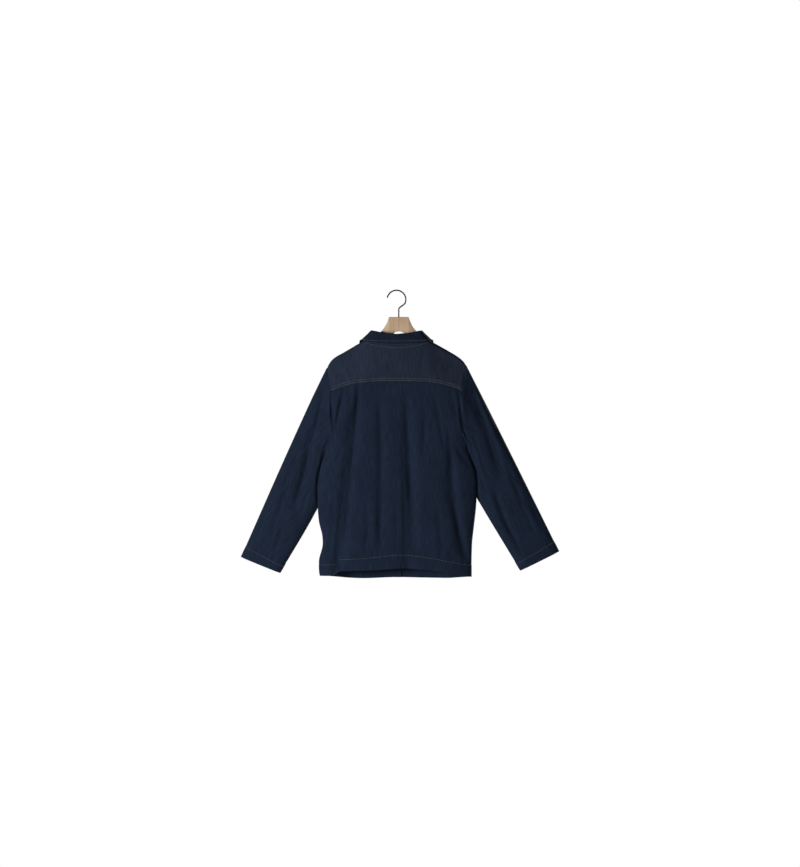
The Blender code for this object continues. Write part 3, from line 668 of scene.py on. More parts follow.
@dataclass(frozen=True)
class Collar:
    """The form of the turned-down collar round the neck seam."""

    body: Body
    stand_height: float = 0.80
    collar_apart: float = 0.0015
    fall_clear: float = 0.0040
    fold_roll: float = 0.0024
    collar_shape: Table = (
        # station, fold across, fold height, edge across, edge height, edge's distance from the body
        (0.0, 0.0, -0.1253, 0.0, -0.153, 0.0085), (0.18, 0.035, -0.1215, 0.05, -0.1515, 0.0082),
        (0.32, 0.06, -0.1165, 0.083, -0.1487, 0.0072), (0.46, 0.073, -0.1135, 0.101, -0.144, 0.004),
        (0.58, 0.072, -0.123, 0.104, -0.167, 0.0035), (0.72, 0.06, -0.148, 0.093, -0.203, 0.0032),
        (0.86, 0.037, -0.172, 0.076, -0.233, 0.003), (1.0, 0.004, -0.186, 0.056, -0.262, 0.003),
    )
    fold_depth: Table = (
        # station, how far the fold stands behind or before the shoulder line
        (0.0, 0.029), (0.32, 0.022), (0.46, 0.006), (0.58, -0.02), (0.72, -0.032), (1.0, -0.038),
    )
    stand_rows: int = 2
    fall_rows: int = 7

    def neck_ring(self) -> Row:
        """Neck seam from the left centre front round the back to the right.

        Returns:
            Its points.
        """
        drops = self.body.front_drops() + self.body.over_drops()[-2::-1]
        halves = []
        for side in SIDES:
            seam = [(self.body.neck_front(drop, side), drop, -1) for drop in drops]
            for column in range(self.body.neck_steps - 1, -1, -1):
                seam.append((*self.body.neck_back(math.pi / 2 * column / self.body.neck_steps, side), 1))
            halves.append([self.body.point(x, self.body.ridge(x) - drop, face) for x, drop, face in seam])
            halves[-1][0].x = side * self.collar_apart
        return halves[0] + halves[1][-2::-1]

    def stations(self, ring: Row) -> list[tuple[float, int]]:
        """Share of the way from centre back to centre front of each neck point.

        Args:
            ring: Points of the neck seam.

        Returns:
            Shares and sides.
        """
        middle = len(ring) // 2
        travelled = [0.0]
        for before, after in zip(ring, ring[1:]):
            travelled.append(travelled[-1] + (after - before).length)
        centre = travelled[middle]
        shares = []
        for index, way in enumerate(travelled):
            whole = centre if index <= middle else travelled[-1] - centre
            shares.append((abs(way - centre) / whole, 1 if index <= middle else -1))
        return shares

    def clear_of_body(self, point: Vector, gap: float) -> Vector:
        """Move a point out of the body until a gap lies between them.

        Args:
            point: A point near the body.
            gap: Distance to keep.

        Returns:
            The moved point.
        """
        face = 1 if point.y >= 0 else -1
        drop = self.body.ridge(point.x) - point.z
        if drop < self.body.roll:
            rolled = between(self.body.ridge_half, abs(point.x)) + gap
            high = (self.body.roll - drop) / (self.body.roll + gap)
            away = math.hypot(point.y / rolled, high)
            if 0 < away < 1:
                top = self.body.ridge(point.x) - self.body.roll + high / away * (self.body.roll + gap)
                return Vector((point.x, point.y / away, top))
            return point
        reach = abs(self.body.point(point.x, point.z, face).y) + gap
        return Vector((point.x, face * max(abs(point.y), reach), point.z))

    def rows(self) -> tuple[Grid, Grid]:
        """Rows of the stand and of the fall, on the side that faces the other.

        Returns:
            Stand and fall.
        """
        ring = self.neck_ring()
        stations = self.stations(ring)
        stand = [[] for _ in range(self.stand_rows + 1)]
        fall = [[] for _ in range(FOLD_ROW + self.fall_rows)]
        for index, (base, (share, side)) in enumerate(zip(ring, stations)):
            fold_x, fold_z, low_x, low_z, clear = columns(self.collar_shape, share)
            fold = Vector((side * fold_x, between(self.fold_depth, share), fold_z - CLOTH))
            low = self.body.point(side * low_x, low_z, 1 if share < self.collar_shape[3][0] else -1)
            along = ring[min(index + 1, len(ring) - 1)] - ring[max(index - 1, 0)]
            outward = Vector((-along.y, along.x, 0)).normalized() * -1
            low += outward * clear
            inner = fold - outward * self.fold_roll
            inner.z -= self.fold_roll
            seam = base.lerp(inner, self.stand_height)
            for row in range(self.stand_rows + 1):
                stand[row].append(base.lerp(seam, row / self.stand_rows))
            outer = fold + outward * self.fold_roll
            outer.z -= self.fold_roll
            points = [seam, inner, fold.copy(), outer]
            for row in range(1, self.fall_rows):
                down = row / (self.fall_rows - 1)
                points.append(self.clear_of_body(outer.lerp(low, down), self.fall_clear))
            for line, point in zip(fall, points):
                line.append(point)
        return stand, fall


# Creases


@dataclass(frozen=True)
class Crease:
    """One soft trough in the cloth with the low ridge that it pushes up beside it."""

    start: tuple[float, float]
    middle: tuple[float, float]
    end: tuple[float, float]
    width: float
    depth: float
    lean: float = 0.5
    stations: ClassVar[int] = 14
    reach: ClassVar[float] = 4.0  # widths
    fade_power: ClassVar[float] = 0.7
    swell: ClassVar[tuple[float, ...]] = (0.22, 9.0, 40.0, 23.0)  # size, turns along, by place
    shoulder: ClassVar[tuple[float, ...]] = (1.9, 1.3)  # how far beside, how broad

    def path(self) -> np.ndarray:
        """Points along the crease, from a curve through its three places."""
        shares = np.linspace(0.0, 1.0, self.stations)[:, None]
        start, middle, end = (np.array(place) for place in (self.start, self.middle, self.end))
        pull = 2 * middle - (start + end) / 2
        return (1 - shares) ** 2 * start + 2 * shares * (1 - shares) * pull + shares ** 2 * end

    def press(self, places: np.ndarray) -> np.ndarray:
        """How far the crease moves the cloth in.

        Args:
            places: Place across and height of each point, one row a point.

        Returns:
            Depth at each point, negative on the pushed-up ridge.
        """
        path = self.path()
        found = np.zeros(len(places))
        margin = self.reach * self.width
        low, high = path.min(axis=0) - margin, path.max(axis=0) + margin
        near = np.all((places > low) & (places < high), axis=1)
        if not near.any():
            return found
        chosen = places[near]
        runs = path[1:] - path[:-1]
        lengths = np.maximum((runs ** 2).sum(axis=1), TINY ** 2)
        offsets = chosen[:, None, :] - path[None, :-1, :]
        along = np.clip((offsets * runs).sum(axis=2) / lengths, 0.0, 1.0)
        aside = offsets - along[:, :, None] * runs
        distances = np.sqrt((aside ** 2).sum(axis=2))
        best = distances.argmin(axis=1)
        rows = np.arange(len(chosen))
        turned = runs[best, 0] * aside[rows, best, 1] - runs[best, 1] * aside[rows, best, 0]
        distance = distances[rows, best] * np.sign(turned) / self.width
        share = (best + along[rows, best]) / len(runs)
        fade = np.sin(np.pi * np.clip(share, 0.0, 1.0)) ** self.fade_power
        size, turns, by_x, by_z = self.swell
        swell = 1 + size * np.sin(turns * share + by_x * self.start[0] + by_z * self.start[1])
        away, broad = self.shoulder
        shoulder = self.lean * np.exp(-(distance - away) ** 2 / broad)
        found[near] = self.depth * fade * swell * (np.exp(-distance ** 2) - shoulder)
        return found


def creases(rows: Sequence[tuple[float, ...]]) -> list[Crease]:
    """Read creases from rows of photograph places.

    Args:
        rows: Start, middle and end in pixels, then width, depth and lean in millimetres and shares.

    Returns:
        The creases in metres.
    """
    made = []
    for *places, width, depth, lean in rows:
        ends = [at_pixel(*place) for place in zip(places[::2], places[1::2])]
        made.append(Crease(*ends, width / 1000, depth / 1000, lean))
    return made


# Seen from behind, in pixels of the photograph: start, middle, end; then width and depth in mm, lean
BEHIND = (
    # across, down, across, down, across, down, width, depth, lean
    (359, 376, 357.6, 414, 353.6, 470, 7, 4.8, 0.4), (354.4, 440, 349.6, 500, 343.2, 560, 7, 5.2, 0.4),
    (379, 395, 381.5, 440, 381.5, 492, 9, 3.4, 0.4), (381.5, 476, 380.5, 520, 380, 556, 9, 3.4, 0.4),
    (406, 388, 409, 440, 411.5, 500, 10, 5, 0.5), (411, 462, 413.5, 515, 416, 558, 13, 6, 0.4),
    (401.5, 436, 404, 500, 405, 554, 5, 1.8, 0.3), (423, 396, 424.5, 428, 422, 462, 8, 2.4, 0.3),
    (434, 392, 440, 425, 445, 458, 7, 2.2, 0.3), (447, 424, 452, 470, 456.5, 516, 10, 4.4, 0.4),
    (453.5, 496, 459.5, 530, 466.5, 562, 9, 5, 0.4), (345, 386, 339.5, 411, 334, 434, 5, 3.2, 0.4),
    (347, 440, 338, 458, 330, 472, 7, 2, 0.4), (452, 438, 461, 455, 470, 466, 7, 2, 0.3),
    (335, 496, 332, 530, 328.5, 560, 7, 2.4, 0.3), (366, 500, 368, 530, 365, 556, 8, 2.4, 0.4),
    (394, 500, 397, 530, 395, 552, 7, 1.4, 0.2), (436, 500, 440, 532, 441, 556, 8, 2.2, 0.4),
    # pinched along the armholes
    (332.2, 379, 332.4, 406, 334, 436, 4.5, 5.2, 0.3), (333, 428, 323, 456, 318.5, 486, 5, 3.8, 0.3),
    (457.5, 384, 461, 414, 465.5, 437, 5, 3.6, 0.3), (470.5, 446, 477, 466, 485, 490, 6, 3, 0.3),
    # the yoke, drawn down from the shoulders' ends
    (342.6, 362, 349.6, 370, 354.6, 379, 7, 1.5, 0.4), (456.6, 360, 449.6, 369, 444.6, 379, 7, 1.5, -0.4),
    (376.6, 352, 379.6, 364, 380.1, 377, 9, 1.1, 0.3), (423.6, 352, 421.6, 364, 421.6, 377, 9, 1.1, 0.3),
    # the left sleeve
    (323.6, 388, 319.1, 414, 310.1, 453, 6.5, 3, 0.5), (310.6, 450, 303.6, 478, 294.6, 508, 7, 3.2, 0.5),
    (311.6, 402, 304.6, 424, 298.6, 445, 8, 2.2, 0.4), (301.6, 446, 291.6, 470, 281.6, 492, 8, 2.7, -0.4),
    (290.6, 484, 279.6, 510, 270.6, 535, 8, 2.4, 0.4), (313.6, 478, 305.6, 500, 297.6, 520, 7, 2.3, -0.4),
    (285.6, 520, 279.6, 538, 273.6, 555, 7, 2, 0.4), (268.6, 505, 261.6, 524, 254.6, 543, 7, 1.8, 0.4),
    (325.6, 432, 320.6, 450, 314.6, 470, 6, 2.2, 0.4), (299.6, 470, 305.6, 476, 312.6, 479, 5, 1.4, 0.4),
    (285.6, 500, 292.6, 507, 299.6, 511, 5, 1.2, 0.4),
    # the right sleeve
    (471.6, 388, 480.6, 412, 491.6, 437, 6.5, 3.2, -0.5), (490.6, 432, 498.6, 455, 505.6, 478, 7, 3, -0.5),
    (492.6, 488, 503.6, 515, 514.6, 541, 7, 3.2, 0.5), (483.6, 402, 494.6, 424, 502.6, 446, 8, 2, 0.4),
    (505.6, 462, 515.6, 486, 524.6, 509, 8, 2.6, 0.4), (518.6, 500, 529.6, 522, 540.6, 543, 8, 2.3, -0.4),
    (472.6, 436, 479.6, 454, 485.6, 474, 6, 2.2, -0.4), (524.6, 490, 535.6, 514, 545.6, 534, 7, 1.8, 0.4),
    (507.6, 520, 515.6, 540, 522.6, 556, 7, 2, 0.4), (494.6, 478, 501.6, 476, 508.6, 470, 5, 1.4, 0.4),
)
# The hidden front, by likeness to the back
BEFORE = (
    # across, down, across, down, across, down, width, depth, lean
    (355, 400, 353, 445, 348, 495, 8, 2.4, 0.5), (347, 495, 343, 530, 340, 562, 8, 2.6, -0.5),
    (372, 420, 374, 465, 373, 510, 10, 1.9, 0.4), (377, 500, 378, 535, 376, 562, 9, 1.6, -0.4),
    (421, 410, 423, 455, 424, 500, 10, 2, 0.4), (428, 500, 431, 535, 433, 562, 9, 2, 0.5),
    (441, 400, 447, 445, 452, 490, 8, 2.2, 0.5), (452, 492, 458, 528, 463, 560, 8, 2.2, 0.4),
    (349, 380, 342, 400, 335, 425, 6, 1.7, -0.4), (447, 380, 454, 400, 459, 425, 6, 1.7, 0.4),
    (362, 372, 361, 390, 358, 410, 7, 1.2, 0.4), (433, 372, 434, 390, 438, 410, 7, 1.2, 0.4),
    (319, 392, 313, 420, 305, 452, 6.5, 2.1, 0.5), (305, 452, 296, 482, 287, 510, 7, 2.2, 0.5),
    (293, 450, 283, 478, 272, 505, 8, 1.8, -0.4), (281, 505, 272, 528, 264, 550, 7, 1.5, 0.4),
    (472, 392, 480, 420, 490, 450, 6.5, 2.1, -0.5), (490, 450, 500, 482, 510, 512, 7, 2.2, -0.5),
    (503, 450, 514, 480, 525, 508, 8, 1.8, 0.4), (512, 512, 521, 532, 530, 552, 7, 1.5, 0.4),
)


# Cloth


class Cloth(Enum):
    """The two tones of denim that the photograph shows."""

    BODY = "denim"
    YOKE = "yoke_denim"


@dataclass
class Panel:
    """One cut piece of cloth: the grids of its outer skin, and what its edges are."""

    name: str
    grids: list[Grid]
    flat: Pair
    slot: str = Cloth.BODY.value
    area: float | None = None
    hemmed: bool = False
    middles: list[float] | None = None
    grain: tuple[float, ...] = (0.0, 0.0, 0.0, 0.0)
    smoothing: int = 1
    limp: float = 1.0
    rests_on: tuple[str, ...] = ("hanger_wood",)


@dataclass(frozen=True)
class Tailor:
    """Turns panels into finished cloth: refined, creased, raised at its hems and given a wall."""

    hem_rise: float = 0.0009
    hem_step: float = 0.0024
    seam_dip: float = 0.0015
    seam_reach: float = 0.0035
    pucker: float = 0.0007
    pucker_run: float = 0.013
    pucker_reach: float = 0.007
    pucker_slant: float = 0.35
    pucker_change: float = 0.083
    pucker_uneven: float = 2.6
    seam_pucker: float = 0.6
    row_below: float = 0.002
    row_beside: float = 0.009
    deepest: float = 0.8
    sharp: float = math.radians(60)
    far: float = 1.0
    at_hem: float = 0.9
    crease_room: float = 0.012
    drift: float = 0.0011
    waves: Table = (
        # turns a metre across, turns a metre down, phase, share
        (7.0, 3.0, 0.4, 0.34), (-4.0, 9.0, 2.1, 0.26), (13.0, -6.0, 4.4, 0.18), (5.0, 17.0, 1.2, 0.12),
        (21.0, 4.0, 5.3, 0.1),
    )

    def mesh(self, panel: Panel) -> bpy.types.Object:
        """Lay a panel's grids out as one welded surface with coordinates along its grain.

        Args:
            panel: The piece of cloth.

        Returns:
            Its object, still without a wall.
        """
        surface = bmesh.new()
        coordinates = surface.loops.layers.uv.new("cloth")
        turned = surface.verts.layers.float.new("turned")
        middle = surface.verts.layers.float.new("middle")
        for rows in panel.grids:
            flat = self.flattened(rows, panel)
            made = []
            for index, row in enumerate(rows):
                verts = [surface.verts.new(point) for point in row]
                for vert in verts:
                    vert[turned] = 1.0 if panel.hemmed and index == len(rows) - 1 else 0.0
                    vert[middle] = panel.middles[index] if panel.middles else 0.0
                made.append(verts)
            for index in range(len(made) - 1):
                for column in range(len(made[index]) - 1):
                    places = [(index + down, column + across) for down, across in CORNERS]
                    face = surface.faces.new([made[down][across] for down, across in places])
                    for corner, (down, across) in zip(face.loops, places):
                        corner[coordinates].uv = flat[down][across]
        bmesh.ops.remove_doubles(surface, verts=surface.verts, dist=WELD)
        return formed(panel.name + "_cloth", surface)

    def flattened(self, rows: Grid, panel: Panel) -> list[list[Pair]]:
        """Places of a grid's points on its flat cloth, so that weave and slubs follow the grain.

        Args:
            rows: The grid.
            panel: The piece; its grain holds centre, turn and, on a tube, the length round it.

        Returns:
            Place across and along the grain of each point, in metres.
        """
        centre_x, centre_z, turn, girth = panel.grain
        places = []
        for row in rows:
            line = []
            for column, point in enumerate(row):
                across, down = point.x - centre_x, point.z - centre_z
                along = down * math.cos(turn) - across * math.sin(turn)
                round_share = column / (len(row) - 1) - 0.5
                line.append((girth * round_share if girth else across, along))
            places.append(line)
        return places

    def finish(self, panel: Panel, behind: list[Crease], before: list[Crease]) -> bpy.types.Object:
        """Make a panel's cloth with its creases, relief and wall.

        Args:
            panel: The piece of cloth.
            behind: Creases of the side that faces back.
            before: Creases of the side that faces front.

        Returns:
            The finished object.
        """
        made = self.mesh(panel)
        refine = made.modifiers.new("refine", "SUBSURF")
        refine.levels = refine.render_levels = panel.smoothing
        refine.boundary_smooth = "PRESERVE_CORNERS"
        applied(made)
        points = read_vectors(made.data, "co")
        middle = read_attribute(made.data, "middle")
        turned = read_attribute(made.data, "turned")
        from_hem, from_seam = self.distances(made.data, points, turned)
        self.press(points, middle, behind, before, panel.limp)
        write_points(made.data, points)
        normals = read_vectors(made.data, "normal")
        points += normals * self.relief(points, from_hem, from_seam)[:, None]
        write_points(made.data, points)
        add_attribute(made.data, "from_hem", from_hem)
        add_attribute(made.data, "from_seam", from_seam)
        wall = made.modifiers.new("wall", "SOLIDIFY")
        wall.thickness = CLOTH
        wall.offset = -1.0
        wall.use_even_offset = False
        applied(made)
        made.data.shade_smooth()
        made.data.set_sharp_from_angle(angle=self.sharp)
        return made

    def distances(
        self, mesh: bpy.types.Mesh, points: np.ndarray, turned: np.ndarray
    ) -> tuple[np.ndarray, np.ndarray]:
        """How far each point lies from the nearest hem edge and from the nearest other edge.

        Args:
            mesh: The refined surface.
            points: Its points.
            turned: 1 on the hem's edge, less elsewhere.

        Returns:
            Distances from the hem and from the seams, in metres.
        """
        surface = bmesh.new()
        surface.from_mesh(mesh)
        hem_edge, seam_edge = [], []
        for edge in surface.edges:
            if edge.is_boundary:
                ends = [vert.index for vert in edge.verts]
                (hem_edge if min(turned[ends]) > self.at_hem else seam_edge).append(ends)
        surface.free()
        found = []
        for edges in (hem_edge, seam_edge):
            if not edges:
                found.append(np.full(len(points), self.far))
                continue
            tree = KDTree(len(edges) * 2)
            for index, (first, second) in enumerate(edges):
                tree.insert(points[first], 2 * index)
                tree.insert((points[first] + points[second]) / 2, 2 * index + 1)
            tree.balance()
            found.append(np.array([tree.find(point)[2] for point in points]))
        return found[0], found[1]

    def press(
        self, points: np.ndarray, middle: np.ndarray, behind: list[Crease], before: list[Crease], limp: float
    ) -> None:
        """Press the creases into a surface, less where it turns away at its outline.

        Args:
            points: The surface's points, changed in place.
            middle: Depth of the middle of the body or sleeve at each point.
            behind: Creases of the side that faces back.
            before: Creases of the side that faces front.
            limp: Share of the creases that this piece takes.
        """
        out = points[:, 1] - middle
        room = np.clip(np.abs(out) / self.crease_room, 0.0, 1.0)
        places = points[:, (0, 2)]
        for side, rows in ((1, behind), (-1, before)):
            chosen = (out * side) > 0
            if not chosen.any():
                continue
            depth = np.zeros(int(chosen.sum()))
            for crease in rows:
                depth += crease.press(places[chosen])
            for across, down, phase, share in self.waves:
                turn = 2 * math.pi * (places[chosen, 0] * across + places[chosen, 1] * down) + phase
                depth += self.drift * share * np.sin(turn)
            depth = np.minimum(depth, self.deepest * np.abs(out[chosen]))
            points[chosen, 1] -= side * limp * depth * room[chosen]

    def relief(self, points: np.ndarray, from_hem: np.ndarray, from_seam: np.ndarray) -> np.ndarray:
        """How far hems stand up and sewn edges sink in.

        Args:
            points: The surface's points.
            from_hem: Distance from the hem's edge.
            from_seam: Distance from the other edges.

        Returns:
            Rise of each point along its normal.
        """
        from_turn = from_hem - hem_arch(points[:, 0]) - HEM_TURN
        run = 2 * math.pi * (points[:, 0] + self.pucker_slant * points[:, 2])
        uneven = self.pucker_uneven * np.sin(run / self.pucker_change)
        ripple = 0.5 + 0.5 * np.sin(run / self.pucker_run + uneven)
        at_row = np.exp(-((from_turn + self.row_below) / self.pucker_reach) ** 2)
        beside = np.exp(-((from_seam - self.row_beside) / self.pucker_reach) ** 2)
        rise = self.hem_rise / (1 + np.exp(from_turn / (self.hem_step / 4)))
        rise -= self.seam_dip * np.exp(-(from_seam / self.seam_reach) ** 2)
        return rise - self.pucker * (ripple * at_row - self.seam_pucker * (ripple - 0.5) * beside)


def linked(name: str, data: bpy.types.ID) -> bpy.types.Object:
    """Put data into the scene as a named object."""
    made = bpy.data.objects.new(name, data)
    bpy.context.scene.collection.objects.link(made)
    return made


def formed(name: str, shape: bmesh.types.BMesh) -> bpy.types.Object:
    """Turn a shape into a named object.

    Args:
        name: Its name.
        shape: The shape, freed here.

    Returns:
        The object.
    """
    mesh = bpy.data.meshes.new(name)
    shape.to_mesh(mesh)
    shape.free()
    return linked(name, mesh)


def applied(made: bpy.types.Object) -> None:
    """Replace an object's mesh by what its modifiers make of it, and take them off."""
    graph = bpy.context.evaluated_depsgraph_get()
    graph.update()
    mesh = bpy.data.meshes.new_from_object(made.evaluated_get(graph), depsgraph=graph)
    made.modifiers.clear()
    old, made.data = made.data, mesh
    bpy.data.meshes.remove(old)


def read_vectors(mesh: bpy.types.Mesh, name: str) -> np.ndarray:
    """Places ("co") or normals ("normal") of a mesh's points, one row a point."""
    flat = np.empty(len(mesh.vertices) * 3)
    mesh.vertices.foreach_get(name, flat)
    return flat.reshape(-1, 3)


def write_points(mesh: bpy.types.Mesh, points: np.ndarray) -> None:
    """Put points back into a mesh."""
    mesh.vertices.foreach_set("co", points.ravel())
    mesh.update()


def read_attribute(mesh: bpy.types.Mesh, name: str) -> np.ndarray:
    """Values of one float attribute of a mesh's points."""
    values = np.empty(len(mesh.vertices))
    mesh.attributes[name].data.foreach_get("value", values)
    return values


def add_attribute(mesh: bpy.types.Mesh, name: str, values: np.ndarray) -> None:
    """Store a float attribute on a mesh's points."""
    layer = mesh.attributes.new(name, "FLOAT", "POINT")
    layer.data.foreach_set("value", values.astype(np.float32))


# Nodes and stitches


def wire(tree: bpy.types.NodeTree, node: bpy.types.Node, inputs: dict) -> None:
    """Set or link a node's inputs.

    Args:
        tree: The node's tree.
        node: The node.
        inputs: For each socket's name or number, a value or the output to link.
    """
    for name, value in inputs.items():
        if isinstance(value, Socket):
            tree.links.new(value, node.inputs[name])
        else:
            node.inputs[name].default_value = value


def output(tree: bpy.types.NodeTree, kind: str, inputs: dict, socket: int | str = 0,
           **settings: object) -> Socket:
    """Add a node with its settings, and set or link its inputs.

    Args:
        tree: The tree that gets it.
        kind: The node's type.
        inputs: For each socket's name or number, a value or the output to link.
        socket: The wanted output.
        **settings: Properties of the node.

    Returns:
        That output.
    """
    node = tree.nodes.new(kind)
    for name, value in settings.items():
        setattr(node, name, value)
    wire(tree, node, inputs)
    return node.outputs[socket]


def seam_of(path: Sequence[Vector]) -> bpy.types.Object:
    """A loose line of edges through points.

    Args:
        path: Its points.

    Returns:
        The line's object.
    """
    mesh = bpy.data.meshes.new("sewn_path")
    mesh.from_pydata([tuple(point) for point in path], [(i, i + 1) for i in range(len(path) - 1)], [])
    return linked("sewn_path", mesh)


@dataclass(frozen=True)
class Thread:
    """A sewn row's thread: real topstitching, drawn a little coarser so that it shows from afar."""

    pitch: float = 0.0031
    length: float = 0.0027
    width: float = 0.0010
    height: float = 0.0008
    sides: int = 6
    rings: int = 4

    def tree(self) -> bpy.types.GeometryNodeTree:
        """Geometry Nodes that lay short rounded stitches along a line.

        Returns:
            The tree, with named inputs for its sizes.
        """
        tree = bpy.data.node_groups.new("sewn_row", "GeometryNodeTree")
        shape = tree.interface
        shape.new_socket("Path", in_out="INPUT", socket_type="NodeSocketGeometry")
        for name in ("Pitch", "Length", "Width", "Height"):
            shape.new_socket(name, in_out="INPUT", socket_type="NodeSocketFloat")
        shape.new_socket("Thread", in_out="INPUT", socket_type="NodeSocketMaterial")
        shape.new_socket("Row", in_out="OUTPUT", socket_type="NodeSocketGeometry")
        given = tree.nodes.new("NodeGroupInput").outputs
        curve = output(tree, "GeometryNodeMeshToCurve", {"Mesh": given["Path"]})
        spaced = output(tree, "GeometryNodeResampleCurve", {"Curve": curve, "Length": given["Pitch"]},
                        mode="LENGTH")
        ball = output(tree, "GeometryNodeMeshUVSphere",
                      {"Segments": self.sides, "Rings": self.rings, "Radius": 0.5}, "Mesh")
        size = output(tree, "ShaderNodeCombineXYZ",
                      {"X": given["Length"], "Y": given["Width"], "Z": given["Height"]})
        stitch = output(tree, "GeometryNodeTransform", {"Geometry": ball, "Scale": size})
        way = output(tree, "GeometryNodeInputTangent", {})
        turned = output(tree, "FunctionNodeAlignRotationToVector", {"Vector": way}, axis="X")
        row = output(tree, "GeometryNodeInstanceOnPoints",
                     {"Points": spaced, "Instance": stitch, "Rotation": turned})
        real = output(tree, "GeometryNodeRealizeInstances", {"Geometry": row})
        dressed = output(tree, "GeometryNodeSetMaterial", {"Geometry": real, "Material": given["Thread"]})
        tree.links.new(dressed, tree.nodes.new("NodeGroupOutput").inputs["Row"])
        return tree

    def sew(self, tree: bpy.types.GeometryNodeTree, path: Sequence[Vector], thread: bpy.types.Material,
            pitch: float | None = None) -> bpy.types.Object:
        """Sew one row along a path.

        Args:
            tree: The tree of stitches.
            path: Points on the cloth.
            thread: Its material.
            pitch: Distance between stitches, the thread's own if not given.

        Returns:
            The row as a plain mesh.
        """
        row = seam_of(path)
        nodes = row.modifiers.new("sewn_row", "NODES")
        nodes.node_group = tree
        tight = pitch or self.pitch
        wanted = {
            "Pitch": tight, "Length": self.length * tight / self.pitch, "Width": self.width,
            "Height": self.height, "Thread": thread,
        }
        for item in tree.interface.items_tree:
            if item.in_out == "INPUT" and item.name in wanted:
                nodes[item.identifier] = wanted[item.name]
        applied(row)
        row.data.shade_smooth()
        return row


@dataclass
class Cloths:
    """The finished pieces of cloth, to find places on them."""

    trees: dict[str, BVHTree] = field(default_factory=dict)
    reach: float = 0.012
    lift: float = 0.0002
    outside: float = 0.4

    def add(self, name: str, made: bpy.types.Object) -> None:
        """Remember a finished piece's surface."""
        shape = bmesh.new()
        shape.from_mesh(made.data)
        self.trees[name] = BVHTree.FromBMesh(shape)
        shape.free()

    def row(self, name: str, places: Sequence[Pair], face: int) -> Row:
        """Find places on a piece that are seen from behind or before.

        Args:
            name: The piece.
            places: Place across and height of each.
            face: 1 behind, -1 before.

        Returns:
            The places, just above the cloth, without those that miss the piece.
        """
        found = []
        for x, z in places:
            start = Vector((x, face * self.outside, z))
            hit, normal, _, _ = self.trees[name].ray_cast(start, -face * DEEP)
            if hit is not None:
                found.append(hit + normal * self.lift)
        return found

    def outer(self, name: str, point: Vector, inside: Vector) -> Vector:
        """Find the place on a piece's outer skin by a point of its form.

        Args:
            name: The piece.
            point: A point near it.
            inside: A place on the other side of the skin.

        Returns:
            The place, just above the cloth.
        """
        face = 1 if point.y > inside.y else -1
        start = Vector((point.x, point.y + face * self.reach, point.z))
        hit, normal, _, _ = self.trees[name].ray_cast(start, -face * DEEP, 2 * self.reach)
        if hit is None:
            away = (point - inside).normalized() * self.reach
            hit, normal, _, _ = self.trees[name].find_nearest(point + away)
        return hit + normal * self.lift


